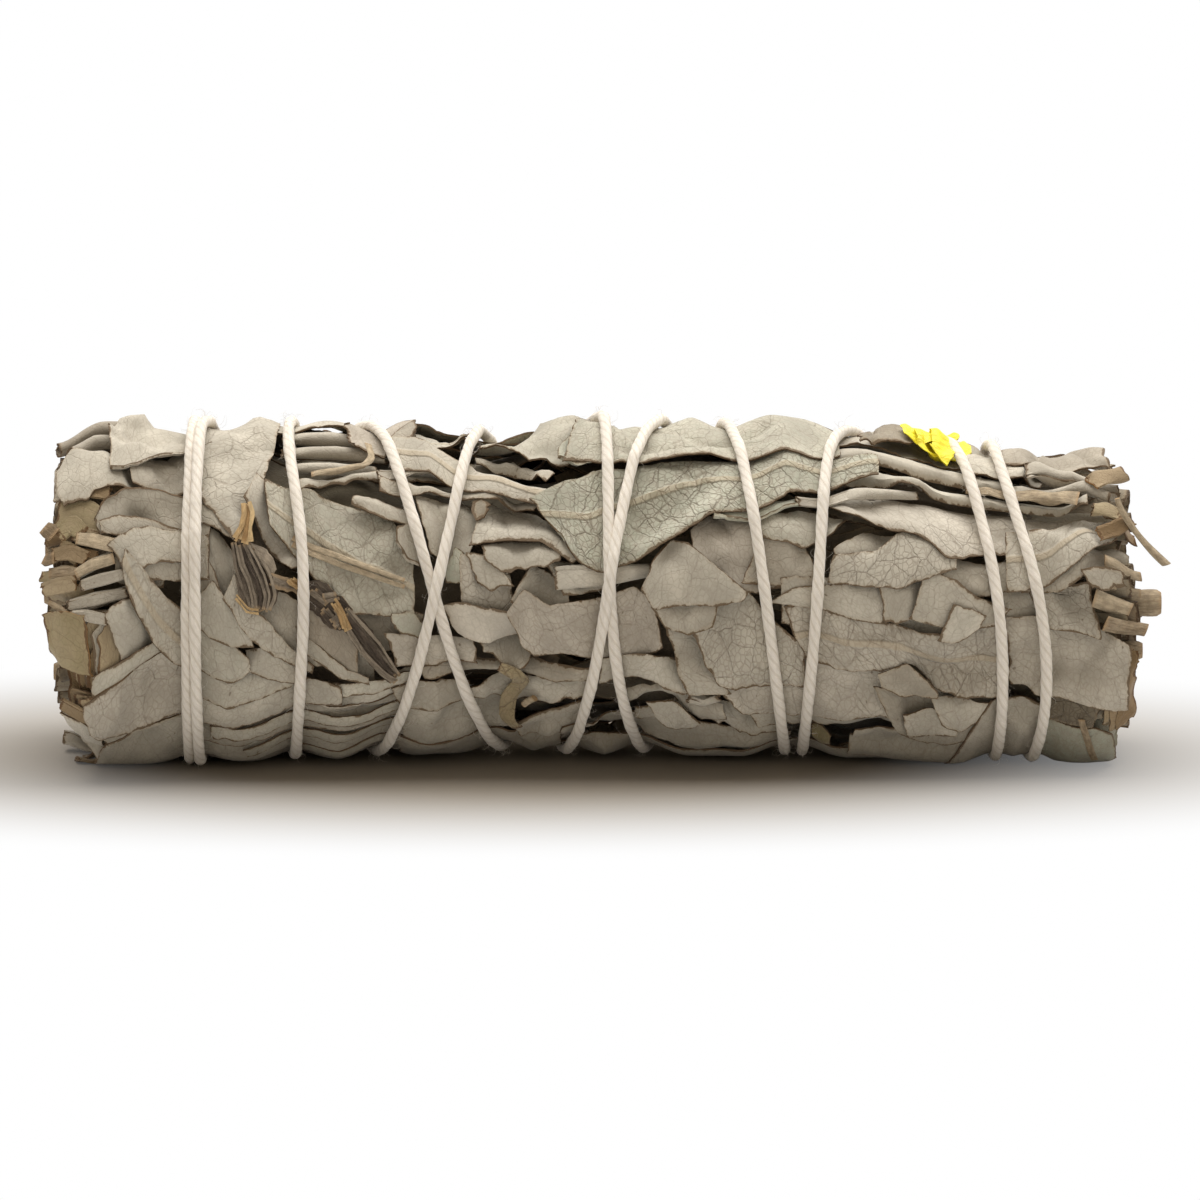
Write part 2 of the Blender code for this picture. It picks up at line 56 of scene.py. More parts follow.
# The string is wound to the right in open turns and comes back over itself. Each pair is the angle wound
# from the top, in degrees, and the place along the bundle in millimetres. The part's source has the same
# route, but for the first and the last turn, which lie up to 0.5 mm nearer to each other's side here.
STRING_ROUTE = (
    (-84, -38.0), (0, -37.8), (50, -37.95), (90, -37.95), (180, -38.2), (222, -38.2), (290, -29.0),
    (352, -21.0), (394, -18.9), (436, -15.7), (454, -14.9), (488, -12.1), (505, -10.7), (540, -9.3),
    (630, -4.6),
    (720, 0.3), (803, 0.3), (821, 0.5), (841, 1.3), (865, 2.6), (900, 3.9), (990, 7.8),
    (1080, 11.7), (1116, 12.7), (1160, 14.6), (1181, 15.1), (1201, 15.8), (1222, 16.5), (1260, 16.7),
    (1305, 16.8), (1360, 23.5),
    (1440, 32.5), (1476, 33.7), (1514, 36.0), (1538, 36.5), (1594, 36.0), (1620, 35.8), (1710, 34.4),
    (1800, 35.4), (1838, 36.9), (1876, 40.0), (1895, 40.6), (1912, 40.7), (1928, 40.2), (1954, 39.2),
    (1980, 38.8), (2022, 38.4), (2080, 29.5),
    (2170, 20.3), (2199, 19.9), (2243, 19.4), (2263, 18.9), (2286, 18.4), (2307, 18.1), (2340, 18.2),
    (2385, 18.2), (2430, 11.2),
    (2520, 3.9), (2556, 2.3), (2577, 1.1), (2608, 0.1), (2628, -0.7), (2648, -1.7), (2664, -2.6),
    (2700, -3.9), (2790, -8.0),
    (2891, -12.5), (2914, -13.0), (2937, -14.0), (2957, -15.2), (2988, -16.8), (3008, -18.3),
    (3024, -20.1), (3060, -21.5), (3150, -26.0),
    (3240, -29.8), (3280, -28.4), (3298, -27.2), (3313, -26.8), (3328, -27.1), (3346, -27.7),
    (3372, -28.1), (3420, -28.6), (3510, -33.2),
    (3600, -37.2), (3652, -37.2), (3744, -37.15), (3780, -37.15), (3858, -37.25),
)
STRING_RADIUS = 0.53
PRESS_DEPTH = 0.75
PRESS_WIDTH = 0.35
PRESS_REACH = 4.0
BULGE = 1.45
PRESS_SOFTNESS = 0.18
PRESSED_SLOPE = 0.12
ARC = np.radians(1.0) * MEAN_RADIUS
RELIEF_END = 56.0
RELIEF_STEP = 0.4
RELIEF_TURN = 1.5
FAR = 999.0
RELIEF_X = np.arange(-RELIEF_END, RELIEF_END + RELIEF_STEP, RELIEF_STEP)
RELIEF_ANGLE = np.arange(-180.0, 180.0, RELIEF_TURN)


def smooth_step(t):
    """0 below 0, 1 above 1 and an even S between."""
    t = np.clip(t, 0.0, 1.0)
    return t * t * (3.0 - 2.0 * t)


def bundle_radius(x):
    """Radius of the finished bundle at x: straight lines between its stations."""
    return np.interp(x, STATIONS, RADII)


def axis_height(x):
    """Height of the bundle's axis at x: straight lines between its stations."""
    return np.interp(x, STATIONS, AXIS_HEIGHTS)


CROWN_STATIONS = (-51, -46, -41, -36, -32, -25, -19, -14, -8, -3, 3, 8, 13, 18, 24, 29, 34, 38, 43, 47)
CROWN_HEIGHTS = (1.9, 2.2, 2.3, 1.0, 1.2, 0.7, 0.6, 0.5, 1.2, 2.2, 1.9, 0.2, 0.3, 0.0, 0.0, 0.4, 1.6, 1.2,
                 3.0, 3.4)
CROWN_ANGLE = 100.0
CROWN_SPREAD = 34.0


def crown(x, angle):
    """How much further than round the bundle reaches near its top: a bell over the angle, varied along X."""
    off = (angle - CROWN_ANGLE + 180.0) % 360.0 - 180.0
    return np.interp(x, CROWN_STATIONS, CROWN_HEIGHTS) * np.exp(-((off / CROWN_SPREAD) ** 2))


def beyond_end(x):
    """How far x lies past the place where the bundle's ends begin to round off."""
    return np.maximum(np.maximum(LEFT_END + END_ROUNDING - x, x - RIGHT_END + END_ROUNDING), 0.0)


relief_x, relief_angle = np.meshgrid(RELIEF_X, RELIEF_ANGLE, indexing="ij")
round_shape = bundle_radius(relief_x) + crown(relief_x, relief_angle)


def highest_reach():
    """How high a leaf may stand, over (x, angle): PRESS_DEPTH under the bundle's surface where the string
    holds it down, and BULGE more from PRESS_REACH millimetres beside the string."""
    wound, along = np.array(STRING_ROUTE, dtype=float).T
    apart = np.full(relief_x.shape, FAR)
    for turn in range(-1, int(wound[-1] // 360.0) + 1):
        here = np.interp((90.0 - relief_angle) % 360.0 + 360.0 * turn, wound, along, left=FAR, right=FAR)
        apart = np.minimum(apart, np.abs(relief_x - here))
    bulge = BULGE * smooth_step((apart - PRESS_WIDTH) / PRESS_REACH) ** 0.8
    return round_shape - PRESS_DEPTH + bulge - 0.5 * END_FALL * beyond_end(relief_x) ** 2


def read_grid(grid, x, angle):
    """Value of a grid over (x, angle), linear between its points and joined round the bundle."""
    column = np.clip((x - RELIEF_X[0]) / RELIEF_STEP, 0.0, len(RELIEF_X) - 1.001)
    row = ((angle + 180.0) / RELIEF_TURN) % len(RELIEF_ANGLE)
    i = column.astype(int)
    j = row.astype(int) % len(RELIEF_ANGLE)
    following = (j + 1) % len(RELIEF_ANGLE)
    s = column - i
    t = row - np.floor(row)
    near = grid[i, j] * (1.0 - s) + grid[i + 1, j] * s
    far = grid[i, following] * (1.0 - s) + grid[i + 1, following] * s
    return near * (1.0 - t) + far * t


reach_limit = highest_reach()


def held(x, angle, radius):
    """The radius held down softly to the limit of its place; what was higher keeps a little of its height."""
    limit = read_grid(reach_limit, x, angle)
    under = limit - PRESS_SOFTNESS * np.logaddexp(0.0, (limit - radius) / PRESS_SOFTNESS)
    return under + PRESSED_SLOPE * np.maximum(radius - limit, 0.0)


def place(x, angle, radius, clear=0.02, free=False):
    """Points in metres at (x, angle, radius): held down by the string unless `free`, and flattened softly
    where they would come lower than `clear` over the surface below, so that layers keep their order."""
    turn = np.radians(angle)
    radius = radius if free else held(x, angle, radius)
    reach = (axis_height(x) - clear) / np.maximum(-np.sin(turn), 0.05)
    radius = reach - FLOOR_SOFTNESS * np.logaddexp(0.0, (reach - radius) / FLOOR_SOFTNESS)
    return np.stack((x, -radius * np.cos(turn), axis_height(x) + radius * np.sin(turn)), axis=-1) * MM


# How high the bundle reaches so far. It starts as the pressed heart, and every piece that is laid raises it.
HEART_DEPTH = 5.7
relief = bundle_radius(relief_x) - HEART_DEPTH


def raise_relief(x, angle, radius):
    """The relief is raised to `radius` in the grid cells at and next to the points."""
    column = np.rint((x - RELIEF_X[0]) / RELIEF_STEP).astype(int)
    row = np.rint((angle + 180.0) / RELIEF_TURN).astype(int)
    for step_x in (-1, 0, 1):
        near = np.clip(column + step_x, 0, len(RELIEF_X) - 1)
        for step_angle in (-1, 0, 1):
            np.maximum.at(relief, (near, (row + step_angle) % len(RELIEF_ANGLE)), radius)


def settle(ground, stiffness):
    """A sheet over a grid of ground heights: levelled with its neighbours, never lower than the ground."""
    sheet = ground.copy()
    for _ in range(stiffness):
        edge = np.pad(sheet, 1, mode="edge")
        level = (edge[:-2, 1:-1] + edge[2:, 1:-1] + edge[1:-1, :-2] + edge[1:-1, 2:]) / 4.0
        sheet = np.maximum(ground, level)
    return sheet


def smooth_line(points, count, rounds=6):
    """`count` points along a line of given (x, angle) points, rounded where it bends."""
    fixed = np.array(points, dtype=float)
    steps = np.hypot(np.diff(fixed[:, 0]), np.radians(np.diff(fixed[:, 1])) * MEAN_RADIUS)
    travelled = np.concatenate(([0.0], np.cumsum(steps)))
    fine = np.linspace(0.0, travelled[-1], 61)
    line = np.stack([np.interp(fine, travelled, fixed[:, k]) for k in range(fixed.shape[1])], axis=-1)
    for _ in range(rounds):
        line[1:-1] = (line[:-2] + 2.0 * line[1:-1] + line[2:]) / 4.0
    pick = np.linspace(0.0, travelled[-1], count)
    line = np.stack([np.interp(pick, fine, line[:, k]) for k in range(fixed.shape[1])], axis=-1)
    return line, travelled[-1]


def spread(values, count):
    """`count` values that go evenly through these, or that many of one value."""
    values = np.atleast_1d(values)
    return np.interp(np.linspace(0.0, 1.0, count), np.linspace(0.0, 1.0, len(values)), values)


def ragged(rng, length, count, coarse=1.5, fine=0.45):
    """Unevenness of a torn edge, about -1 to 1: straight lines between random points, coarse plus fine."""
    place_on_edge = np.linspace(0.0, length, count)
    total = np.zeros(count)
    for spacing, share in ((coarse, 0.65), (fine, 0.45)):
        knots = max(int(length / spacing), 1) + 2
        total += share * np.interp(place_on_edge, np.linspace(0.0, length, knots), rng.uniform(-1, 1, knots))
    return total


def ripples(rng, x, y, length):
    """Gentle waves over a sheet, 0 to 1: the mean of five sine waves of about `length` millimetres that run
    in random directions."""
    total = np.zeros(x.shape)
    for _ in range(5):
        heading = rng.uniform(0.0, np.pi)
        wave = 2.0 * np.pi / (length * rng.uniform(0.7, 1.6))
        total += np.sin(wave * (x * np.cos(heading) + y * np.sin(heading)) + rng.uniform(0.0, 2.0 * np.pi))
    return 0.5 + total / 10.0


def looks(shape, tone, green, close, vein):
    """Tone, greenness, closeness to a cut edge and strength of the veins, for each point of a grid."""
    full = np.ones(shape)
    return np.stack((full * tone, full * green, full * close, full * vein), axis=-1)


def walls(index):
    """Quads between the rings of points of a tube, whose numbers stand in rows of one ring each."""
    beside = np.roll(index, -1, axis=-1)
    rings = (index[..., :-1, :], beside[..., :-1, :], beside[..., 1:, :], index[..., 1:, :])
    return np.stack(rings, axis=-1).reshape(-1, 4)


def as_part(points, faces, uv, look, finishes=0):
    """A part for make_piece: points in metres, quads, uv, look, and the finish of each quad."""
    finishes = np.broadcast_to(finishes, len(faces))
    return points.reshape(-1, 3), faces, uv.reshape(-1, 2), look.reshape(-1, 4), finishes


def shell(face, thickness, uv, look):
    """A closed sheet: a grid of points in metres and its copy moved back by `thickness` along its normals,
    joined round the border, which has finish 1."""
    along = np.gradient(face, axis=0)
    across = np.gradient(face, axis=1)
    normal = np.cross(across, along)
    normal /= np.maximum(np.linalg.norm(normal, axis=-1, keepdims=True), 1e-12)
    back = face - normal * thickness * MM
    rows, columns = face.shape[:2]
    index = np.arange(rows * columns).reshape(rows, columns)
    quads = np.stack((index[:-1, :-1], index[:-1, 1:], index[1:, 1:], index[1:, :-1]), axis=-1).reshape(-1, 4)
    ring = np.concatenate((index[0, :-1], index[:-1, -1], index[-1, :0:-1], index[:0:-1, 0]))
    following = np.roll(ring, -1)
    count = rows * columns
    border = np.stack((following, ring, ring + count, following + count), axis=-1)
    faces = np.concatenate((quads, quads[:, ::-1] + count, border))
    finishes = np.arange(len(faces)) >= 2 * len(quads)
    return as_part(np.stack((face, back)), faces, np.stack((uv, uv)), np.stack((look, look)), finishes)


def make_piece(name, parts, materials, slot, *nodes, crease=50.0):
    """One object of several closed parts in these materials; it stands for the frame's `nodes`."""
    offsets = np.cumsum([0] + [len(part[0]) for part in parts[:-1]])
    points, faces, uv, look, finishes = (np.concatenate(column) for column in zip(*parts))
    faces = faces + np.repeat(offsets, [len(part[1]) for part in parts])[:, None]
    mesh = bpy.data.meshes.new(name)
    mesh.vertices.add(len(points))
    mesh.vertices.foreach_set("co", points.astype(np.float32).ravel())
    mesh.loops.add(faces.size)
    mesh.loops.foreach_set("vertex_index", faces.astype(np.int32).ravel())
    mesh.polygons.add(len(faces))
    mesh.polygons.foreach_set("loop_start", np.arange(len(faces), dtype=np.int32) * 4)
    mesh.polygons.foreach_set("material_index", finishes.astype(np.int32))
    mesh.update(calc_edges=True)
    layer = mesh.uv_layers.new(name="UVMap")
    layer.data.foreach_set("uv", uv[faces.ravel()].astype(np.float32).ravel())
    tint = mesh.attributes.new("look", "FLOAT_COLOR", "POINT")
    tint.data.foreach_set("color", look.astype(np.float32).ravel())
    mesh.validate()
    mesh.shade_smooth()
    mesh.set_sharp_from_angle(angle=np.radians(crease))
    for material in materials:
        mesh.materials.append(material)
    piece = bpy.data.objects.new(name, mesh)
    bpy.context.scene.collection.objects.link(piece)
    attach(piece, "root")
    if nodes:
        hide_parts(*nodes)
    return piece


LEAF_THICKNESS = 0.16
LEAF_GAP = 0.03
RIM_REACH = 0.8
OVERLAP = 0.35
TEAR_REACH = 1.6
LIFT_REACH = 2.2
CORNER_REACH = 2.8
BEND_REACH = 3.0
RIDGE_WIDTH = 0.4
UV_LENGTH = 10.0
OFF_RIB = 4.0
seeds = iter(range(1, 10000))


def lay_leaf(upper, lower, arch=0.4, crest=2.0, lift=(0.1, 0.45, 0.15, 0.15), curl=(0.0, 0.0),
             curl_turn=200.0, torn=0.15, rim=(0.9, 1.0, 0.9, 0.9), tone=None, green=0.15,
             vein=0.35, rib=None, ridge=0.0, wave=0.24, folds=(0.0, 0.0), bends=(2, 0.14), corners=0.6,
             stiffness=14, step=0.32, thickness=LEAF_THICKNESS, sink=0.0, free=False):
    """A dried leaf between its upper and lower edges, each a line of (x, angle), laid on the bundle.

    Its points go straight across from edge to edge, and a wide one is tucked OVERLAP millimetres further
    under its neighbours. Its height is that of a sheet settled on the relief, plus `arch` times
    1 - |2v - 1| ** crest across it (the edges raised instead where arch is negative), plus `lift` near its
    edges, up to `corners` at its corners, plus `ridge` along the midrib at `rib`, plus waves with sunken
    creases, plus `folds`: so many lengthwise pleats, so deep, plus `bends`: so many straight creases across
    it in any direction, with the sheet rising so steeply to or from them. The last `curl` millimetres at the
    upper and lower edges roll outward on a circle through `curl_turn`. `torn` is how ragged its edges are
    and `rim` how brown; these and `lift` are one value, or one each for the upper, lower, left and right
    edge. A `free` leaf lies over the string.
    """
    lift, torn, rim = (np.broadcast_to(value, 4) for value in (lift, torn, rim))
    rng = np.random.default_rng(next(seeds))
    top, top_length = smooth_line(upper, 2)
    low, low_length = smooth_line(lower, 2)
    length = max(top_length, low_length)
    ends = np.array([upper[0], upper[-1]], dtype=float) - np.array([lower[0], lower[-1]], dtype=float)
    middle = np.mean(np.array(upper, dtype=float), axis=0) - np.mean(np.array(lower, dtype=float), axis=0)
    width = max(np.hypot(middle[0], np.radians(middle[1]) * MEAN_RADIUS), 1.0)
    width = max(width, 0.7 * np.max(np.hypot(ends[:, 0], np.radians(ends[:, 1]) * MEAN_RADIUS)))
    rows = int(np.clip(length / step, 14, 110))
    columns = int(np.clip(width / step, 8, 48))
    top, _ = smooth_line(upper, rows, 2)
    low, _ = smooth_line(lower, rows, 2)
    top[:, 1] *= ARC
    low[:, 1] *= ARC
    across = top - low
    wide = np.maximum(np.hypot(across[:, 0], across[:, 1]), 0.3)
    across /= wide[:, None]
    tucked = OVERLAP * smooth_step((width - 2.0) / 2.0)
    top += across * tucked
    low -= across * tucked
    top += across * (torn[0] * ragged(rng, length, rows))[:, None]
    low -= across * (torn[1] * ragged(rng, length, rows))[:, None]
    even = np.linspace(0.0, 1.0, columns)
    v = (0.55 * even + 0.45 * (0.5 - 0.5 * np.cos(np.pi * even)))[None, :]
    u = np.linspace(0.0, 1.0, rows)[:, None]
    x = top[:, :1] * (1.0 - v) + low[:, :1] * v
    s = top[:, 1:] * (1.0 - v) + low[:, 1:] * v
    fade = TEAR_REACH / length
    x = x - torn[2] * ragged(rng, width, columns)[None, :] * smooth_step(1.0 - u / fade)
    x = x + torn[3] * ragged(rng, width, columns)[None, :] * smooth_step(1.0 - (1.0 - u) / fade)
    height = settle(read_grid(relief, x, s / ARC), stiffness)
    height = (held(x, s / ARC, height) if free else height) + LEAF_GAP + thickness - sink
    profile = np.abs(2.0 * v - 1.0) ** crest
    arched = arch * (1.0 - profile) if arch > 0.0 else -arch * profile
    height = height + arched * np.sin(np.pi * (0.1 + 0.8 * u))
    along = u * length + 0.0 * v
    back_along = (1.0 - u) * length + 0.0 * v
    from_edge = (v * wide[:, None], (1.0 - v) * wide[:, None], along, back_along)
    for rise, distance in zip(lift, from_edge):
        height = height + rise * smooth_step(1.0 - distance / LIFT_REACH)
    for upright in from_edge[:2]:
        for level in from_edge[2:]:
            near = smooth_step(1.0 - np.hypot(upright, level) / CORNER_REACH)
            height = height + rng.uniform(-0.2, 1.0) * corners * near
    height = height + wave * ripples(rng, x, s, 6.0) + 0.5 * wave * ripples(rng, x, s, 2.2)
    height = height - 1.6 * wave * (1.0 - np.abs(2.0 * ripples(rng, x, s, 8.0) - 1.0)) ** 6
    pleat = folds[0] * (v + 0.10 * (ripples(rng, x, s, 9.0) - 0.5))
    height = height + folds[1] * np.abs(np.sin(np.pi * pleat))
    for _ in range(bends[0]):
        heading = rng.uniform(0.0, np.pi)
        start, across_start = rng.integers(rows // 5, rows - rows // 5), rng.integers(columns // 5, columns)
        apart = np.abs((x - x[start, 0]) * np.cos(heading) + (s - s[start, across_start]) * np.sin(heading))
        apart = np.minimum(apart, BEND_REACH)
        steep = bends[1] * rng.uniform(-1.0, 1.0)
        height = height + abs(steep) * (apart if steep > 0.0 else BEND_REACH - apart)
    off_rib = (v - (0.5 if rib is None else rib)) * wide[:, None]
    height = height + ridge * np.exp(-((off_rib / RIDGE_WIDTH) ** 2))
    for side, (reach, distance) in enumerate(zip(curl, from_edge)):
        if reach > 0.0:
            bend = reach / np.radians(curl_turn)
            curled = np.maximum(reach - distance, 0.0)
            back_off = curled - bend * np.sin(curled / bend)
            outward = -1.0 if side == 0 else 1.0
            x = x + outward * across[:, :1] * back_off
            s = s + outward * across[:, 1:] * back_off
            height = height + bend * (1.0 - np.cos(curled / bend))
    angle = s / ARC
    raise_relief(x, angle, height)
    close = np.zeros(height.shape)
    for strength, distance in zip(rim, from_edge):
        close = np.maximum(close, strength * np.clip(1.0 - distance / RIM_REACH, 0.0, 1.0))
    look = looks(height.shape, rng.uniform(0.35, 0.75) if tone is None else tone, green, close, vein)
    shift = rng.uniform(0.0, 50.0)
    uv_across = off_rib / UV_LENGTH + (OFF_RIB if rib is None else 0.0)
    uv = np.stack((along / UV_LENGTH + shift, uv_across), axis=-1)
    return shell(place(x, angle, height, free=free), thickness, uv, look)


# Finish of the leaves: pale grey-beige felt of fine hairs, with a net of sunken veins, side veins that slant
# away from the midrib, small dark specks, and a thin brown line where an edge is torn.
def add_node(tree, kind, inputs=(), **settings):
    """One shader node with these settings; `inputs` are (socket, value or socket to link) pairs."""
    made = tree.nodes.new("ShaderNode" + kind)
    for key, value in settings.items():
        setattr(made, key, value)
    for key, value in inputs:
        if isinstance(value, bpy.types.NodeSocket):
            tree.links.new(value, made.inputs[key])
        else:
            made.inputs[key].default_value = value
    return made


def sums(tree, operation, a, b=0.0, c=0.0):
    """Result of one Math node."""
    return add_node(tree, "Math", ((0, a), (1, b), (2, c)), operation=operation).outputs[0]


def times(tree, a, b, plus=0.0):
    """a times b, plus `plus`."""
    return sums(tree, "MULTIPLY_ADD", a, b, plus)


def ramp(tree, value, low, high, to_low=0.0, to_high=1.0):
    """Smooth change from `to_low` to `to_high` as value goes from `low` to `high`."""
    pairs = (("Value", value), ("From Min", low), ("From Max", high), ("To Min", to_low), ("To Max", to_high))
    return add_node(tree, "MapRange", pairs, interpolation_type="SMOOTHSTEP").outputs["Result"]


def mix(tree, factor, a, b, blend="MIX"):
    """Colour a turned towards colour b by factor."""
    made = add_node(tree, "Mix", (), data_type="RGBA", blend_type=blend)
    for key, value in ((0, factor), (6, a), (7, b)):
        if isinstance(value, bpy.types.NodeSocket):
            tree.links.new(value, made.inputs[key])
        else:
            made.inputs[key].default_value = value
    return made.outputs[2]


def new_finish(name, roughness, sheen=0.0):
    """A material with its tree and its Principled shader."""
    material = bpy.data.materials.new(name)
    material.use_nodes = True
    tree = material.node_tree
    shader = tree.nodes["Principled BSDF"]
    shader.inputs["Roughness"].default_value = roughness
    shader.inputs["Specular IOR Level"].default_value = 0.25
    shader.inputs["Sheen Weight"].default_value = sheen
    shader.inputs["Sheen Roughness"].default_value = 0.5
    return material, tree, shader


def grey(level):
    """A grey of this level."""
    return (level, level, level, 1.0)


def noise(tree, where, scale, detail=3.0, rough=0.6):
    """Noise from 0 to 1 at these coordinates."""
    pairs = (("Vector", where), ("Scale", scale), ("Detail", detail), ("Roughness", rough))
    return add_node(tree, "TexNoise", pairs).outputs["Fac"]


def read_look(tree):
    """Tone, greenness, closeness to a cut edge and vein strength, as the mesh carries them."""
    look = add_node(tree, "Attribute", (), attribute_name="look")
    split = add_node(tree, "SeparateColor", (("Color", look.outputs["Color"]),))
    return (*split.outputs, look.outputs["Alpha"])


def read_uv(tree, *scale):
    """Place along and across the unrolled sheet, stretched by `scale` where it is given."""
    where = add_node(tree, "UVMap", (), uv_map="UVMap").outputs[0]
    return add_node(tree, "Mapping", (("Vector", where), ("Scale", scale))).outputs[0] if scale else where


def shade(tree, colour, value, dark, light, low=0.3, high=0.7):
    """The colour times a grey that goes from `dark` to `light` as value goes from `low` to `high`."""
    level = ramp(tree, value, low, high, dark, light)
    shadow = add_node(tree, "CombineColor", ((0, level), (1, level), (2, level))).outputs[0]
    return mix(tree, 1.0, colour, shadow, "MULTIPLY")


def paint(tree, shader, colour):
    """The colour goes on the surface."""
    tree.links.new(colour, shader.inputs["Base Color"])


def add_bump(tree, shader, height, strength, distance, *below):
    """Small relief of this height on the surface, on top of the relief `below`."""
    pairs = (("Strength", strength), ("Distance", distance), ("Height", height))
    bump = add_node(tree, "Bump", pairs + tuple(("Normal", normal) for normal in below)).outputs[0]
    tree.links.new(bump, shader.inputs["Normal"])
    return bump


def veins_of(tree, bent, scale, width):
    """1 on the lines between cells of this scale, 0 away from them."""
    cells = add_node(tree, "TexVoronoi", (("Vector", bent), ("Scale", scale)), feature="DISTANCE_TO_EDGE")
    return ramp(tree, cells.outputs["Distance"], 0.0, width, 1.0, 0.0)


def leaf_finish(name, dark, pale, green, brown):
    """Felted leaf: tone, greenness, closeness to an edge and vein strength come from the mesh as "look"."""
    material, tree, shader = new_finish(name, 0.88, sheen=0.12)
    tone, greenness, close, vein = read_look(tree)
    where = read_uv(tree)
    blotch = noise(tree, where, 2.6, 4.0, 0.55)
    felt = noise(tree, where, 48.0, 3.0, 0.65)
    lumps = noise(tree, where, 9.0, 2.0, 0.5)
    share = times(tree, blotch, 0.36, sums(tree, "SUBTRACT", tone, 0.18))
    colour = mix(tree, share, dark, pale)
    green_share = times(tree, greenness, ramp(tree, lumps, 0.3, 0.7, 0.6, 1.0))
    colour = mix(tree, green_share, colour, green)
    colour = shade(tree, colour, felt, 0.95, 1.04)
    colour = shade(tree, colour, blotch, 0.88, 1.07)
    sway = add_node(tree, "TexNoise", (("Vector", where), ("Scale", 9.0))).outputs["Color"]
    bent = add_node(tree, "VectorMath", ((0, sway), (1, (0.04, 0.04, 0.0)), (2, where)),
                    operation="MULTIPLY_ADD").outputs[0]
    pairs = (("Vector", where), ("Scale", 1.6), ("Detail", 3.0), ("Roughness", 0.5))
    wrinkle = add_node(tree, "TexNoise", pairs, noise_type="RIDGED_MULTIFRACTAL").outputs["Fac"]
    # Painted shade and light: the colour goes darker in the hollows of the wrinkles that the bump below
    # raises, and lighter on their ridges.
    colour = shade(tree, colour, wrinkle, 0.84, 1.07, low=0.1, high=0.9)
    patch = ramp(tree, blotch, 0.3, 0.55, 0.45, 1.0)
    net = times(tree, times(tree, veins_of(tree, bent, 4.5, 0.035), patch), vein)
    fine_net = times(tree, times(tree, veins_of(tree, bent, 18.0, 0.13), patch), times(tree, vein, 0.8, 0.1))
    axes = add_node(tree, "SeparateXYZ", (("Vector", where),))
    off_rib = sums(tree, "ABSOLUTE", axes.outputs[1])
    slant = times(tree, off_rib, -0.8, axes.outputs[0])
    side = sums(tree, "PINGPONG", times(tree, lumps, 0.12, slant), 0.16)
    near_rib = ramp(tree, off_rib, 0.6, 1.5, 1.0, 0.0)
    side = times(tree, times(tree, ramp(tree, side, 0.0, 0.016, 1.0, 0.0), near_rib), vein)
    midrib = ramp(tree, off_rib, 0.02, 0.045, 1.0, 0.0)
    lines = sums(tree, "MAXIMUM", net, side)
    colour = mix(tree, times(tree, fine_net, 0.4), colour, brown)
    colour = mix(tree, times(tree, lines, 0.42), colour, brown)
    colour = mix(tree, times(tree, midrib, 0.4), colour, (0.42, 0.33, 0.21, 1.0))
    speck = ramp(tree, noise(tree, where, 13.0, 1.0), 0.74, 0.80)
    colour = mix(tree, times(tree, speck, 0.55), colour, brown)
    edge = sums(tree, "ADD", close, times(tree, noise(tree, where, 7.0, 4.0, 0.7), 1.3, -0.65))
    colour = mix(tree, ramp(tree, edge, 0.45, 1.0, 0.0, 0.3), colour, (0.33, 0.23, 0.12, 1.0))
    colour = mix(tree, ramp(tree, edge, 0.80, 0.92, 0.0, 0.85), colour, brown)
    paint(tree, shader, colour)
    height = times(tree, felt, 0.06, times(tree, lumps, 0.2))
    for mark, rise in ((lines, -0.35), (midrib, 0.7), (fine_net, -0.2)):
        height = times(tree, mark, rise, height)
    add_bump(tree, shader, wrinkle, 0.8, 0.0009, add_bump(tree, shader, height, 0.8, 0.00026))
    return material


def torn_finish(name, colour_a, colour_b):
    """Brown, crumbly cut edge of a dried leaf."""
    material, tree, shader = new_finish(name, 0.9)
    where = add_node(tree, "TexCoord").outputs["Object"]
    paint(tree, shader, mix(tree, noise(tree, where, 2500.0), colour_a, colour_b))
    return material


SAGE = leaf_finish("sage_leaf", dark=(0.27, 0.215, 0.155, 1.0), pale=(0.68, 0.62, 0.515, 1.0),
                   green=(0.45, 0.475, 0.365, 1.0), brown=(0.10, 0.062, 0.03, 1.0))
TORN = torn_finish("torn_edge", (0.045, 0.028, 0.014, 1.0), (0.19, 0.125, 0.07, 1.0))
# Painted shade: the heart's leaves are near-black brown, so that the gaps between the outer leaves read dark.
HEART = leaf_finish("heart_leaf", dark=(0.08, 0.058, 0.036, 1.0), pale=(0.22, 0.18, 0.125, 1.0),
                    green=(0.15, 0.135, 0.08, 1.0), brown=(0.04, 0.025, 0.012, 1.0))
INNER = leaf_finish("inner_leaf", dark=(0.17, 0.13, 0.085, 1.0), pale=(0.38, 0.32, 0.235, 1.0),
                    green=(0.25, 0.23, 0.14, 1.0), brown=(0.07, 0.04, 0.02, 1.0))
FELTED = (SAGE, TORN)


# Packed heart of the bundle: leaves pressed together lengthwise round a core, both coloured near-black brown
# as painted shade for the gaps where they show. Only slivers of them show between the outer leaves; their
# torn ends show at both ends of the bundle.
def lay_pointed(x0, x1, angle, half, slant, **details):
    """A whole, pointed sage leaf laid lengthwise: an oval `half` degrees to each side of its midrib."""
    oval = ((0.0, 0.1), (0.15, 0.62), (0.4, 1.0), (0.7, 0.85), (0.9, 0.4), (1.0, 0.05))
    upper = [(x0 + (x1 - x0) * t, angle + slant * t + half * w) for t, w in oval]
    lower = [(x0 + (x1 - x0) * t, angle + slant * t - half * w) for t, w in oval]
    return lay_leaf(upper, lower, **details)


CORE_SHORT = 6.0


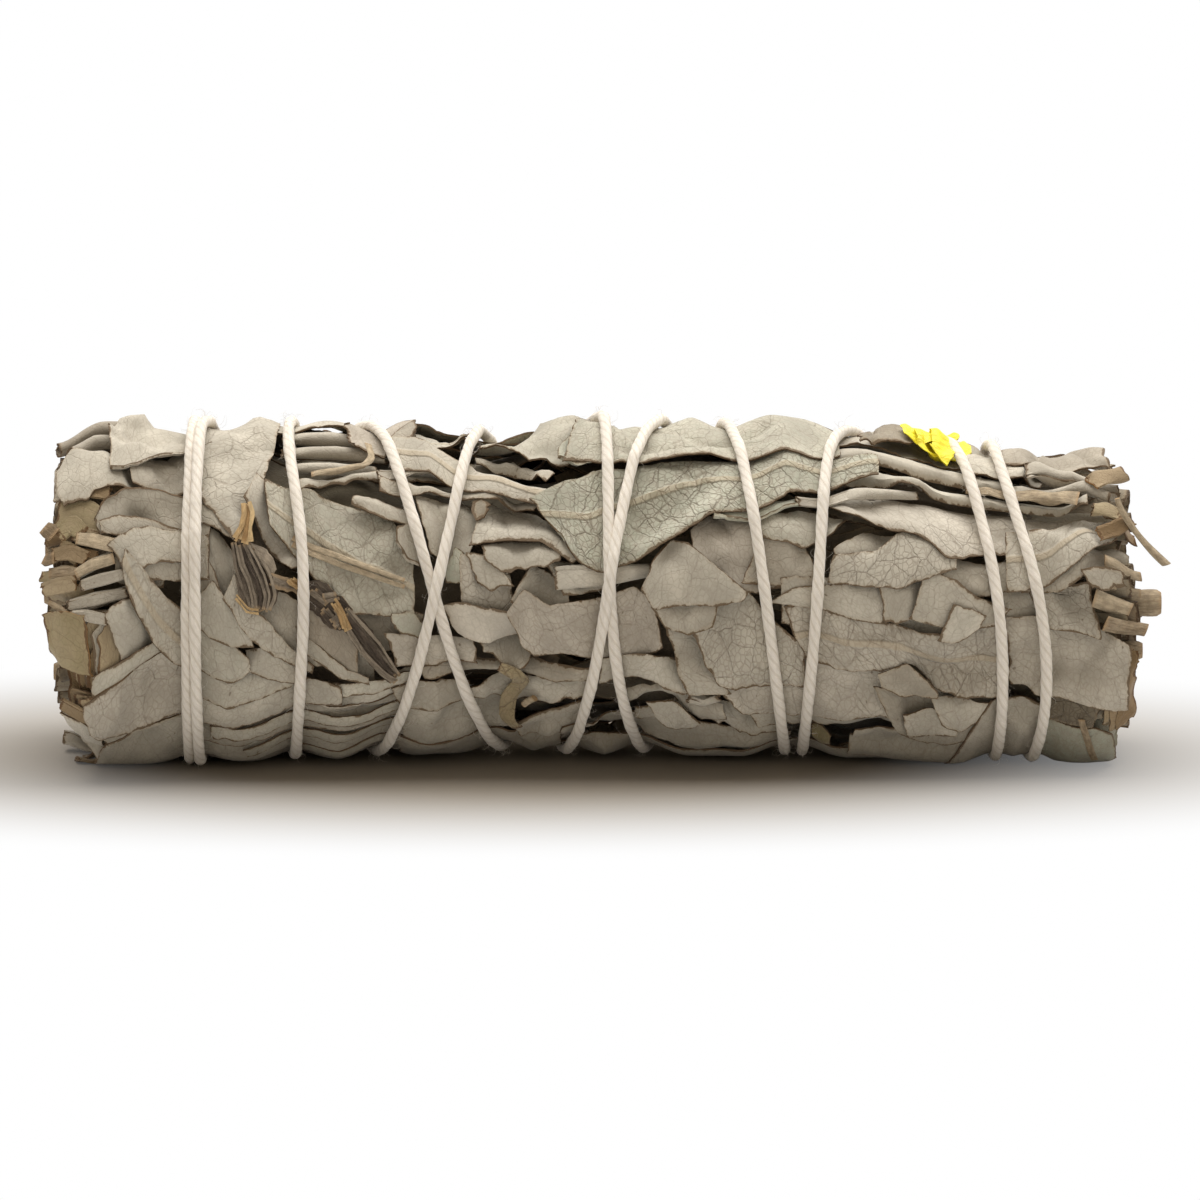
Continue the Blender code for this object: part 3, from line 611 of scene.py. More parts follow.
def heart_core():
    """The middle, near-black as painted shade: a tube half a millimetre under the heart's surface, CORE_SHORT
    millimetres shorter than the bundle at each end and drawn in to a point there."""
    u = np.linspace(0.0, 1.0, 30)[:, None]
    angle = np.linspace(-180.0, 180.0, 49)[None, :]
    x = LEFT_END + CORE_SHORT + (RIGHT_END - LEFT_END - 2.0 * CORE_SHORT) * u + 0.0 * angle
    close = np.clip(np.minimum(u, 1.0 - u) * 14.5, 0.02, 1.0)
    radius = (bundle_radius(x) - HEART_DEPTH - 0.5) * close
    look = looks(x.shape, 0.1, 0.0, 0.4, 0.2)
    uv = np.stack((x / UV_LENGTH, angle / 40.0 + 0.0 * x), axis=-1)
    points = place(x, angle + 0.0 * x, radius)
    index = np.arange(x.size).reshape(x.shape)
    index[:, -1] = index[:, 0]
    quads = np.stack((index[:-1, :-1], index[1:, :-1], index[1:, 1:], index[:-1, 1:]), axis=-1).reshape(-1, 4)
    return as_part(points, quads, uv, look)


def heart_leaves():
    """Three layers of lengthwise leaves all round, four along, each turned a little and slightly arched."""
    rng = np.random.default_rng(7)
    parts = []
    for layer in range(3):
        for number in range(13):
            for quarter in range(4):
                angle = number * 27.7 + layer * 9.0 + quarter * 14.0 + rng.uniform(-5, 5)
                length = rng.uniform(24, 32)
                starts = (LEFT_END + 0.4, -31.0, -5.0, RIGHT_END - 0.8 - length)
                start = starts[quarter] + rng.uniform(-0.8, 0.8)
                parts.append(lay_pointed(
                    start, start + length, (angle + 180.0) % 360.0 - 180.0, rng.uniform(13, 18),
                    rng.uniform(-9, 9), arch=rng.uniform(0.1, 0.6), crest=1.6, wave=0.25, step=0.75,
                    tone=rng.uniform(0.1, 0.6), torn=0.3, green=rng.uniform(0, 0.4)))
    return parts


def heart_ends():
    """Cut ends of folded and rolled leaves that fill both ends of the bundle, in rings from the middle out;
    each lies flat against the ring inside it, and the outer ones end a little sooner."""
    rng = np.random.default_rng(11)
    parts = []
    for end, out in ((LEFT_END, -1.0), (RIGHT_END, 1.0)):
        for ring, count in ((1.6, 4), (4.2, 9), (6.8, 14), (9.2, 18), (11.2, 22)):
            for number in range(count):
                turn = 2.0 * np.pi * (number + rng.uniform(-0.25, 0.25)) / count + ring
                reach = ring * bundle_radius(end) / 15.0 + rng.uniform(-0.3, 0.3)
                tip = end + out * (2.5 + rng.uniform(-1.6, 0.4) - 2.4 * (reach / 14.5) ** 3)
                parts.append(rolled_end(rng, tip, out, reach, turn, rng.uniform(0.8, 1.75)))
    return parts


def rolled_end(rng, tip, out, reach, turn, radius):
    """A leaf rolled up along X and squeezed flat against the bundle: a spiral section, cut off at its tip."""
    u = np.concatenate((np.linspace(0.0, 0.8, 5), np.linspace(0.86, 1.0, 7)))[:, None]
    sweep = rng.uniform(1.0, 1.9) * 2.0 * np.pi
    v = np.linspace(0.0, 1.0, 30)[None, :]
    squeeze = rng.uniform(0.3, 0.8)
    uneven = 0.10 * np.sin(v * 17.0 + rng.uniform(0, 6))
    uneven = uneven + 0.12 * np.sin(u * 8.0 + v * 5.0 + rng.uniform(0, 6))
    spiral = radius * (1.0 - 0.5 * v) * (1.0 + uneven)
    slope = rng.uniform(-0.35, 0.35) * np.cos(sweep * v) + 0.14 * ragged(rng, 8.0, 30, 1.5, 0.5)[None, :]
    x = tip - out * 10.0 * (1.0 - u) + out * slope * smooth_step((u - 0.6) / 0.4) + 0.0 * v
    lean = turn + np.pi / 2.0 + rng.uniform(-0.4, 0.4)
    opened = 1.0 + rng.uniform(-0.1, 0.25) * u ** 3
    wide = spiral * np.cos(sweep * v + lean) * opened
    high = spiral * np.sin(sweep * v + lean) * squeeze * opened
    across = reach * np.cos(turn) + wide * np.cos(lean) - high * np.sin(lean)
    up = reach * np.sin(turn) + wide * np.sin(lean) + high * np.cos(lean)
    face = np.stack((x, across, axis_height(x) + up), axis=-1) * MM
    face[..., 2] = np.maximum(face[..., 2], 0.0003)
    face = face if out < 0.0 else face[:, ::-1]
    close = np.clip(1.0 - (1.0 - u) * 8.0, 0.0, 1.0)
    look = looks(x.shape, rng.uniform(0.1, 0.9), rng.uniform(0.0, 0.4), close, 0.4)
    uv_along = u * 0.9 + rng.uniform(0, 9) + 0.0 * v
    uv = np.stack((uv_along, v * sweep * radius / UV_LENGTH + 3.0 + 0.0 * u), axis=-1)
    return shell(face, 0.24, uv, look)


# The heart is laid pressed in this far. After it the relief follows the bundle's own shape again, PACK_DEPTH
# under its surface, and the underside is filled so that the bundle lies on the floor.
HEART_PRESSED = 2.8
reach_limit -= HEART_PRESSED
make_piece("packed_leaves_heart", [heart_core()] + heart_leaves(), (HEART, TORN), "packed_leaf",
           "packed_leaves")
reach_limit += HEART_PRESSED
make_piece("packed_leaf_ends", heart_ends(), (INNER, TORN), "packed_leaf", "packed_leaves")
PACK_DEPTH = 1.9
UNDER_FILL = 1.6
packed_top = round_shape - PACK_DEPTH - END_FALL * beyond_end(relief_x) ** 2
relief[:] = np.clip(relief, packed_top - 1.0, packed_top + 0.3)
relief += UNDER_FILL * np.exp(-(((relief_angle + 92.0) / 22.0) ** 2))


# Rolled leaves and stalks: a leaf that dried rolled up and a woody stalk are each carried along a line over
# the leaves below and settle between them. The stalk is streaked brown, with a paler, crumbly cut.
TIGHTNESS = 0.4
ROLL_TEAR = 0.3
LINE_STEP = 0.4


def carry(line, fewest, step=LINE_STEP):
    """A line of (x, angle) cut into rows about `step` millimetres apart, at least `fewest` of them: the share
    of its length gone by, x and s in millimetres along and round the bundle, its direction and its length."""
    _, length = smooth_line(line, 2)
    rows = int(np.clip(length / step, fewest, 90))
    centre, _ = smooth_line(line, rows)
    x, s = centre[:, 0], centre[:, 1] * ARC
    along = np.stack((np.gradient(x), np.gradient(s)), axis=-1)
    along /= np.linalg.norm(along, axis=1, keepdims=True)
    return np.linspace(0.0, 1.0, rows), x, s, along, length


def lay_roll(line, radius, turns=1.35, opening=-50.0, squeeze=0.85, tone=None, green=0.1):
    """A leaf rolled up along its length: a spiral section carried along a line of (x, angle) on the relief.

    The section's radius is radius * (1 - TIGHTNESS * v) from its free edge, at the angle `opening` from
    level, to its inner end `turns` further round; it is squeezed flat and lies on the highest ground below.
    """
    rng = np.random.default_rng(next(seeds))
    u, x, s, along, length = carry(line, 10)
    size = spread(radius, len(u))
    ground = np.max([read_grid(relief, x - along[:, 1] * size * k, (s + along[:, 0] * size * k) / ARC)
                     - size * (1.0 - np.sqrt(1.0 - k * k)) for k in (-0.6, 0.0, 0.6)], axis=0)
    height = settle(ground[:, None], 20)[:, 0] + size * squeeze + LEAF_GAP
    columns = int(np.clip(size.max() * turns * 2.0 * np.pi / 0.28, 16, 44))
    v = np.linspace(0.0, 1.0, columns)[None, :]
    turn = np.radians(opening) + 2.0 * np.pi * turns * v
    spiral = size[:, None] * (1.0 - TIGHTNESS * v) * (1.0 + 0.05 * np.sin(3.0 * turn + 4.0 * u[:, None]))
    level = spiral * np.cos(turn)
    up = spiral * np.sin(turn) * squeeze
    tear = ROLL_TEAR * ragged(rng, 6.0, columns, 1.2, 0.4)[None, :] * (2.0 * u[:, None] - 1.0) ** 9
    grid_x = x[:, None] - along[:, 1:] * level + along[:, :1] * tear
    grid_s = s[:, None] + along[:, :1] * level + along[:, 1:] * tear
    grid_r = height[:, None] + up + 0.08 * ripples(rng, grid_x, grid_s, 5.0)
    raise_relief(grid_x, grid_s / ARC, grid_r)
    close = np.clip(1.0 - np.minimum(u, 1.0 - u) * length / RIM_REACH, 0.0, 1.0)[:, None]
    close = np.maximum(close, np.clip(1.0 - v * 2.0 * np.pi * turns * size[:, None] / RIM_REACH, 0.0, 1.0))
    look = looks(grid_x.shape, rng.uniform(0.35, 0.75) if tone is None else tone, green, close, 0.3)
    uv = np.stack((u[:, None] * length / UV_LENGTH + rng.uniform(0.0, 50.0) + 0.0 * v,
                   v * turns * 0.6 * size.max() + OFF_RIB + 0.0 * u[:, None]), axis=-1)
    return shell(place(grid_x, grid_s / ARC, grid_r), LEAF_THICKNESS, uv, look)


def close_ring(ring):
    """Quads that close a ring of an even number of points: a fan from its first point."""
    return np.array([(ring[0], ring[k], ring[k + 1], ring[k + 2]) for k in range(1, len(ring) - 2, 2)])


def round_body(points, uv, look):
    """A closed solid from rings of points (rows, sides, 3), wound so that the faces look outward; its two
    flat ends have finish 1."""
    index = np.arange(points.size // 3).reshape(points.shape[:2])
    side = walls(index)
    faces = np.concatenate((side, close_ring(index[0])[:, ::-1], close_ring(index[-1])))
    return as_part(points, faces, uv, look, np.arange(len(faces)) >= len(side))


CUT_REACH = 0.9


def lay_stalk(line, wide, high=None, sides=14, rough=0.05, tone=0.5, sink=0.0, green=0.0, step=LINE_STEP):
    """A leaf stalk or twig laid on the relief along (x, angle): an oval section that reaches `wide` and
    `high` millimetres from its centre, uneven by `rough` of that in ridges; its two cut ends are flat."""
    rng = np.random.default_rng(next(seeds))
    u, x, s, along, length = carry(line, 8, step)
    rows = len(u)
    wide = spread(wide, rows)
    high = wide if high is None else spread(high, rows)
    ground = settle(read_grid(relief, x, s / ARC)[:, None], 12)[:, 0]
    height = ground + high * (1.0 - sink) + LEAF_GAP
    turn = np.arange(sides) / sides * 2.0 * np.pi
    ridges = np.repeat(rng.uniform(-1.0, 1.0, (1, sides)), rows, axis=0)
    knobs = np.stack([ragged(rng, length, rows, 2.0, 0.6) for _ in range(sides)], axis=-1)
    bumps = 1.0 + rough * ridges + rough * (knobs + np.roll(knobs, 1, axis=1)) / 1.5
    level = wide[:, None] * np.cos(turn)[None, :] * bumps
    grid_x = x[:, None] - along[:, 1:] * level
    grid_s = s[:, None] + along[:, :1] * level
    grid_r = height[:, None] + high[:, None] * np.sin(turn)[None, :] * bumps
    raise_relief(grid_x, grid_s / ARC, grid_r)
    close = np.clip(1.0 - np.minimum(u, 1.0 - u) * length / CUT_REACH, 0.0, 1.0)[:, None]
    look = looks(grid_x.shape, tone, green, close, 0.5 + 0.5 * bumps / (1.0 + 2.0 * rough))
    uv = np.stack((u[:, None] * length / UV_LENGTH + rng.uniform(0.0, 20.0) + 0.0 * turn,
                   turn[None, :] * wide.max() / UV_LENGTH + 0.0 * grid_x), axis=-1)
    return round_body(place(grid_x, grid_s / ARC, grid_r), uv, look)


def stalk_finish(name, pale, dark, cut, streak=9.0):
    """Dry stalk: long streaks between two browns, paler or darker at the cut ends."""
    material, tree, shader = new_finish(name, 0.8)
    tone, _, close, _ = read_look(tree)
    streaks = noise(tree, read_uv(tree, 1.6, streak, 1.0), 4.0, 5.0, 0.65)
    spots = noise(tree, read_uv(tree), 14.0, 3.0, 0.6)
    share = times(tree, streaks, 1.1, times(tree, tone, 0.9, -0.5))
    colour = mix(tree, ramp(tree, share, 0.1, 0.9), dark, pale)
    colour = shade(tree, colour, spots, 0.78, 1.15)
    edge = sums(tree, "ADD", close, times(tree, spots, 0.6, -0.3))
    colour = mix(tree, ramp(tree, edge, 0.6, 1.0, 0.0, 0.7), colour, cut)
    paint(tree, shader, colour)
    add_bump(tree, shader, times(tree, spots, 0.4, streaks), 0.8, 0.0003)
    return material


STALK = stalk_finish("dry_stem", (0.46, 0.37, 0.25, 1.0), (0.20, 0.14, 0.08, 1.0), (0.36, 0.24, 0.13, 1.0))
PITH = torn_finish("stem_cut", (0.20, 0.11, 0.045, 1.0), (0.50, 0.36, 0.20, 1.0))
WOODY = (STALK, PITH)


# Stems cut off at both ends: woody sage stalks, round and slightly knotty, that run into the bundle between
# the leaves and stand out a few millimetres, cut flat with it.
def end_stem(node):
    """A stalk as wide as the frame's stem: its last 14 mm, wavy lengthwise and swollen at a joint."""
    rows, sides = 36, 18
    low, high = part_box(node)
    out = 1.0 if high.x > 0.0 else -1.0
    radius = (high.y - low.y) / 2.0 / MM * 0.96
    tip = (high.x if out > 0.0 else low.x) / MM
    root = tip - out * 14.0
    u = np.linspace(0.0, 1.0, rows)[:, None]
    turn = (np.arange(sides) / sides * 2.0 * np.pi)[None, :]
    rng = np.random.default_rng(int(node[-1]) + 40)
    size = radius * (0.9 + 0.05 * np.sin(22.0 * u) + 0.12 * np.exp(-(((u - 0.78) / 0.05) ** 2)))
    size = size * (1.0 + 0.04 * rng.uniform(-1, 1, (1, sides)))
    size = size * np.clip((1.0 - u) * 26.0 + 0.82, 0.0, 1.0)
    x = root + (tip - root) * u + 0.0 * turn
    y = (low.y + high.y) / 2.0 / MM + size * np.cos(turn)
    z = (low.z + high.z) / 2.0 / MM + size * np.sin(turn) * -out
    look = looks(x.shape, 0.55, 0.0, np.clip(1.0 - (1.0 - u) * 12.0, 0.0, 1.0), 0.0)
    uv = np.stack((x / UV_LENGTH, turn * radius / UV_LENGTH + 0.0 * x), axis=-1)
    part = round_body(np.stack((x, y, z), axis=-1) * MM, uv, look)
    make_piece(node.replace("stem_", "cut_stem_"), [part], WOODY, "dry_stem", node, crease=40.0)


for frame_node in sorted(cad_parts):
    if frame_node.startswith("stem_"):
        end_stem(frame_node)


# Leaves of the underside: long sage leaves pressed flat where the bundle lies on them, pale felt with torn
# ends, tucked in and held by the string alone.
for number, (start, end, angle, half) in enumerate((
        (-48, -22, -78, 15), (-46, -20, -104, 15), (-27, 0, -80, 15), (-25, 2, -106, 15), (-4, 23, -80, 15),
        (-2, 25, -106, 15), (18, 46, -78, 15), (20, 46, -104, 15))):
    lay = lay_pointed(start, end, angle, half, 3.0, arch=0.3, rib=0.5, tone=0.35, torn=(0.3, 0.3, 0.4, 0.4))
    make_piece(f"underside_leaf_{number + 1}", [lay], FELTED, "sage_leaf")


# Leaves of the back and the top behind: whole sage leaves that overlap in rows, each with its midrib standing
# out, and looser ones over them; pale felt with torn ends, held by the string alone.
for row, (middle, half) in enumerate(((126, 20), (158, 21), (-169, 21), (-138, 17))):
    for number in range(2):
        start = -49.0 + 46.0 * number + 3.0 * (row % 2)
        slant = 6.0 * (-1.0) ** (row + number)
        lay = lay_pointed(start, min(start + 50.0, 48.0), middle, half, slant, arch=0.7, rib=0.5, ridge=0.25,
                          vein=0.9, torn=(0.25, 0.25, 0.5, 0.5), lift=(0.4, 0.4, 0.3, 0.3))
        make_piece(f"back_leaf_{row + 1}_{number + 1}", [lay], FELTED, "sage_leaf",
                   f"leaf_back_{row + 1}_{number + 1}")
LOOSE_LEAVES = 26
lay = lay_pointed(-17.0, 9.0, 172.0, 14.0, 4.0, rib=0.5, vein=0.7)
make_piece(f"loose_back_leaf_{LOOSE_LEAVES + 1}", [lay], FELTED, "sage_leaf")
rng = np.random.default_rng(3)
for number in range(LOOSE_LEAVES):
    length = rng.uniform(16, 30)
    start = rng.uniform(-48.0, 47.0 - length)
    angle = 102.0 + 158.0 * (number + 0.5) / LOOSE_LEAVES + rng.uniform(-4, 4)
    lay = lay_pointed(start, start + length, (angle + 180.0) % 360.0 - 180.0, rng.uniform(8, 15),
                      rng.uniform(-14, 14), rib=0.5, arch=rng.uniform(-0.3, 0.7), vein=0.7,
                      torn=(0.3, 0.3, 0.9, 0.9), green=rng.uniform(0.0, 0.5), lift=(0.4, 0.4, 0.5, 0.5),
                      ridge=0.15)
    make_piece(f"loose_back_leaf_{number + 1}", [lay], FELTED, "sage_leaf")


# Inner leaves that reach furthest at the left: thick leaves folded and rolled up when the bundle was packed
# and cut square with it, olive where they are thin and rust brown at the cut; the string holds them.
OLIVE = leaf_finish("olive_leaf", dark=(0.21, 0.125, 0.055, 1.0), pale=(0.46, 0.365, 0.235, 1.0),
                    green=(0.30, 0.255, 0.125, 1.0), brown=(0.10, 0.05, 0.02, 1.0))
RUST = torn_finish("rust_edge", (0.20, 0.09, 0.03, 1.0), (0.42, 0.25, 0.10, 1.0))
RUSTY = (OLIVE, RUST)
WORN = (OLIVE, TORN)


def leaf(name, upper, lower, finishes=FELTED, **details):
    """One leaf as its own object; it stands for the frame's leaf of its name where there is one."""
    nodes = ("leaf_" + name,) if "leaf_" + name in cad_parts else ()
    make_piece(name + "_leaf", [lay_leaf(upper, lower, **details)], finishes, "sage_leaf", *nodes)


def rolled(name, line, radius, finishes=FELTED, **details):
    """One rolled leaf as its own object."""
    make_piece(name + "_roll", [lay_roll(line, radius, **details)], finishes, "sage_leaf")


def stalk(name, line, wide, high=None, finishes=WOODY, **details):
    """One leaf stalk or stem as its own object."""
    make_piece(name + "_stalk", [lay_stalk(line, wide, high, **details)], finishes, "dry_stem", crease=40.0)


rolled("end_a", [(-51.0, 37), (-46, 36)], (1.15, 1.1), finishes=RUSTY, tone=0.1, squeeze=0.9, opening=60.0)
rolled("end_b", [(-49.8, 40), (-47.5, 38), (-45, 33)], (1.5, 1.7, 1.3), finishes=RUSTY, tone=0.7, green=0.5,
       opening=-60.0)
rolled("end_c", [(-48.2, 31), (-46, 29), (-43.8, 25)], (0.75, 0.8, 0.7), finishes=WORN, tone=0.8, turns=1.6)
rolled("end_d", [(-51.1, 26), (-48.5, 25), (-46, 23)], (0.65, 0.6), finishes=RUSTY, tone=0.1, opening=90.0)
rolled("end_e", [(-49.6, 27), (-47.5, 22)], (0.8, 0.9), finishes=RUSTY, tone=0.5, green=0.3, squeeze=0.6)
rolled("end_f", [(-51.4, 19), (-48, 17)], (0.75, 0.8), finishes=RUSTY, tone=0.6, green=0.5, squeeze=0.7)
rolled("end_g", [(-48.3, 16), (-46.4, 20), (-44.4, 23)], (0.5, 0.6, 0.55), tone=0.6, green=0.3, turns=1.7)
leaf("end_h", [(-51.0, 15), (-49, 15), (-46.5, 12)], [(-50.6, 8), (-48.5, 7), (-46.5, 4)], RUSTY, arch=0.8,
     tone=0.8, green=0.3, rim=(0.9, 1, 1.2, 0.5), lift=(0.1, 0.2, 0.4, 0.1))
rolled("end_i", [(-48.6, 6), (-46, 8), (-43.4, 12)], (0.6, 0.65, 0.6), tone=0.55, turns=1.7, opening=-90.0)
rolled("end_j", [(-48.4, 1), (-46, 2.5), (-43.6, 3)], (0.65, 0.7, 0.6), tone=0.6, turns=1.7, opening=40.0)
rolled("end_k", [(-50.4, 2), (-48, 1), (-46, 0)], (0.6, 0.7), finishes=RUSTY, tone=0.2)
stacked = {"wave": 0.3, "rim": (0.9, 0.9, 1.3, 0.5), "torn": (0.2, 0.2, 0.3, 0.1),
           "lift": (0.1, 0.1, 0.5, 0.0)}
for number in range(9):
    start = -49.3 + 0.42 * number
    top_angle, low_angle = (4, -18) if number % 3 else (-3, -30)
    leaf(f"stacked_end_{number + 1}", [(start, top_angle - number), (start + 1.5, top_angle),
         (-44, top_angle)], [(start + 0.3, low_angle), (start + 1.5, low_angle - 3),
         (-44, low_angle + number)], FELTED if number % 3 == 1 else WORN, tone=0.15 + 0.3 * (number % 3),
         green=0.2, bends=(2, 0.2), **stacked)
for number in range(3):
    start = -48.9 + 0.6 * number
    leaf(f"stacked_end_{number + 10}", [(start, -24), (start + 1.5, -22), (-44.5, -22)],
         [(start + 0.2, -40 + 2 * number), (start + 1.5, -42), (-44.5, -40)], WORN, tone=0.3 + 0.2 * number,
         **stacked)
rolled("end_l", [(-49.4, -26), (-47.5, -28), (-45.5, -29)], (0.7, 0.8), finishes=WORN, tone=0.4)
rolled("end_m", [(-48.6, -70), (-46.5, -72), (-44, -72)], (0.9, 1.1), finishes=WORN, tone=0.4, opening=120.0)
rolled("end_n", [(-48.2, -60), (-46.5, -58), (-44, -56)], (0.6, 0.7), tone=0.5, turns=1.8, opening=200.0)
rolled("end_o", [(-49.4, 62), (-47, 60), (-44, 58)], (1.0, 1.1), finishes=WORN, tone=0.4, opening=0.0)
rolled("end_p", [(-49.6, 50), (-47.5, 47), (-45, 46)], (0.8, 0.9), finishes=WORN, tone=0.3, opening=0.0)
for number, angle in enumerate((96, 112, 128, 145, 162, 178, -165, -148, -130, -112, -95)):
    rolled(f"back_end_{number + 1}", [(-50.4 + 0.5 * (number % 3), angle), (-47, angle + 2), (-43, angle)],
           (1.3, 1.5, 1.3), tone=0.2 + 0.2 * (number % 4), squeeze=0.6, opening=30.0 * number)


# Inner leaves beside and under the bark of the twig: small pieces of sage leaf, felted, in darker tones that
# paint the shade of lying deep, caught lengthwise between their neighbours.
leaf("beside_husk_a", [(-36.5, 36), (-35, 32), (-34, 26), (-33, 19)], [(-36, 20), (-35, 11), (-33.5, 5),
     (-32.5, 1)], tone=0.45, arch=0.5)
leaf("beside_husk_b", [(-37, 26), (-36.5, 25), (-35.5, 18), (-35, 11)], [(-37, 8), (-36.5, 7), (-35.5, 6),
     (-35, 5)], tone=0.3)
leaf("under_husk", [(-33, 8), (-31.5, 11), (-29, 9), (-27.5, 5)], [(-32.5, 0), (-30.5, -8), (-28.5, -15),
     (-27.5, -16)], tone=0.4, arch=0.5)
leaf("beside_tail", [(-23.5, 5), (-21, 3), (-18.5, 2), (-16.5, 0)], [(-22, -10), (-20.5, -12), (-18.5, -11),
     (-16.5, -11)], tone=0.25)
leaf("behind_tail", [(-27.5, 4), (-25.5, 3), (-23, -1), (-21, -8)], [(-27, -15), (-25, -18), (-23, -22),
     (-21, -25)], tone=0.25)


# Leaves that end at the left: short pieces of pale felted leaf, cut through with the bundle and torn at the
# cut; they overlap like roof tiles and are held by the double string beside them.
leaf("left_under_low", [(-47, -80), (-45, -56), (-36, -52)], [(-46, -92), (-42, -94), (-36, -84)])
leaf("left_tip", [(-49.4, -30), (-47.5, -31), (-46, -38)], [(-48.9, -44), (-47.8, -58), (-46, -62)],
     arch=0.3)
leaf("left_low", [(-47, -72), (-46, -54), (-45, -45), (-41.5, -40), (-35.5, -36)], [(-46.5, -78), (-44, -79),
     (-41.5, -74), (-35.5, -62)], tone=0.65, wave=0.2)
leaf("left_strip_low", [(-46, -40), (-43, -37), (-36, -31)], [(-45, -47), (-42.5, -42), (-36, -38)],
     curl=(0.0, 0.8), rim=1)
leaf("left_crumple", [(-50.2, 58), (-48.5, 67), (-46, 69)], [(-50.2, 46), (-48, 45), (-45, 50)], wave=0.5,
     tone=0.5)
leaf("left_ragged", [(-50, 57), (-48.5, 66), (-46, 68), (-42, 60)], [(-49.5, 43), (-47.5, 43), (-46, 48),
     (-41.5, 49)], lift=(0.1, 0.7, 0.5, 0.2), torn=(0.2, 0.4, 0.4, 0.2), tone=0.55, stiffness=20)
leaf("left_step", [(-43.5, 62), (-41.5, 68), (-36, 76)], [(-43, 51), (-42, 49), (-36, 55)],
     lift=(0, 0.6, 0.4, 0))
rolled("left_top", [(-49, 78), (-47, 81), (-44.6, 82)], (1.0, 1.15, 0.9), opening=-120.0, tone=0.4)
leaf("left_cut", [(-45.5, 82), (-44, 102), (-41.5, 106), (-36, 106)], [(-45, 53), (-42.5, 56), (-40.5, 62),
     (-36, 74)], lift=(0, 0.8, 0.6, 0), rim=(0.8, 1.05, 1.05, 0.8), curl=(0.0, 0.7), curl_turn=160.0,
     tone=0.6, torn=(0.1, 0.12, 0.15, 0.1), stiffness=20)
leaf("left_mouth", [(-46.5, 36), (-45.5, 43), (-43.5, 47), (-40.5, 48), (-36, 48)], [(-46, 31), (-44.5, 33),
     (-42.5, 32), (-40, 30), (-36, 29)], lift=(1.1, 0.2, 0.6, 0.3), curl=(0.9, 0.0), curl_turn=120.0,
     rim=(1.05, 1, 1, 0.8), arch=0.5, tone=0.5)
leaf("left_mouth_lip", [(-46, 34), (-44.5, 37), (-42.5, 37), (-38, 34)], [(-45.6, 30), (-44, 30), (-42, 29),
     (-38, 27)], lift=(0.7, 0.1, 0.4, 0.1), rim=(1.05, 1, 1, 0.8), tone=0.45)
leaf("left_inner_corner", [(-44.6, 27), (-43, 30), (-40, 31)], [(-44.4, 16), (-43, 14), (-40, 14)], tone=0.3,
     sink=0.4)


# Stubs in the open left end: rolled leaves, olive with rusty ends, and pale woody leaf stalks, all cut off
# with the bundle and lying side by side between the leaves, with the small leaves that lie on them.
rolled("stub_a", [(-49.5, 31), (-48.5, 34), (-47.5, 31)], (0.95, 1.05, 0.8), finishes=RUSTY, tone=0.7,
       green=0.6, opening=-70.0)
stalk("stub_b", [(-48, 29), (-46.5, 28), (-44.5, 26)], (0.5, 0.62, 0.58), tone=0.95)
rolled("stub_c", [(-50, 24), (-48.5, 24), (-47, 22)], (0.7, 0.8, 0.7), finishes=RUSTY, tone=0.4,
       opening=-90.0)
stalk("stub_d", [(-50.5, 18), (-49, 18), (-47.5, 17)], (0.45, 0.55, 0.5), tone=0.45, green=0.5)
rolled("stub_e", [(-51, 12), (-49.5, 13), (-48, 14)], (0.75, 0.85, 0.75), finishes=RUSTY, tone=0.85,
       opening=-70.0)
stalk("stub_f", [(-48, 17), (-46.5, 20), (-44.5, 22)], (0.4, 0.5, 0.45), tone=0.9, green=0.3)
rolled("stub_g", [(-48.5, 7), (-46, 9), (-43.5, 11)], (0.5, 0.62, 0.5), tone=0.62, turns=1.7, opening=-60.0)
rolled("stub_h", [(-48.5, 4), (-47, 4), (-45, 3)], (0.45, 0.55, 0.5), tone=0.62, turns=1.7, opening=-100.0)
stalk("stub_i", [(-50.5, 8), (-49.5, 6), (-48.5, 4)], (0.22, 0.3, 0.25))
stalk("stub_j", [(-51, 35), (-50.5, 33), (-50, 31)], (0.6, 0.75, 0.7), tone=0.1)
stalk("stub_k", [(-51, 24), (-50.5, 23), (-50, 23)], (0.55, 0.6, 0.55), tone=0.1)
rolled("stub_l", [(-47.5, 13), (-45.5, 15), (-43.5, 17)], (0.5, 0.6, 0.5), tone=0.5, turns=1.7,
       opening=-80.0)
leaf("left_pointed", [(-42.5, 24), (-41.5, 30), (-40, 29), (-36, 31)], [(-42.5, 17), (-41, 16), (-39.5, 16),
     (-36, 16)], tone=0.6, vein=0.6)
leaf("left_corner", [(-45, 26), (-43, 32), (-40.5, 33), (-37, 32)], [(-44, 20), (-42.5, 19), (-40.5, 21),
     (-37, 23)], tone=0.65, torn=(0.2, 0.3, 0.3, 0.1))
leaf("left_block_small", [(-45.3, 4), (-43.5, 8), (-42.3, 8)], [(-44, -8), (-42.5, -8), (-40, -7)], tone=0.7,
     lift=(0.3, 0.3, 0.5, 0.1), torn=(0.1, 0.1, 0.3, 0.1))
leaf("left_block", [(-50.9, 2), (-49.5, 4), (-47, 3)], [(-50.7, -12), (-49, -14), (-46.5, -13)], RUSTY,
     rim=(0.9, 0.9, 1.1, 1.05), tone=0.75, green=0.6, lift=(0.3, 0.3, 0.5, 0.4), torn=(0.2, 0.2, 0.25, 0.3))
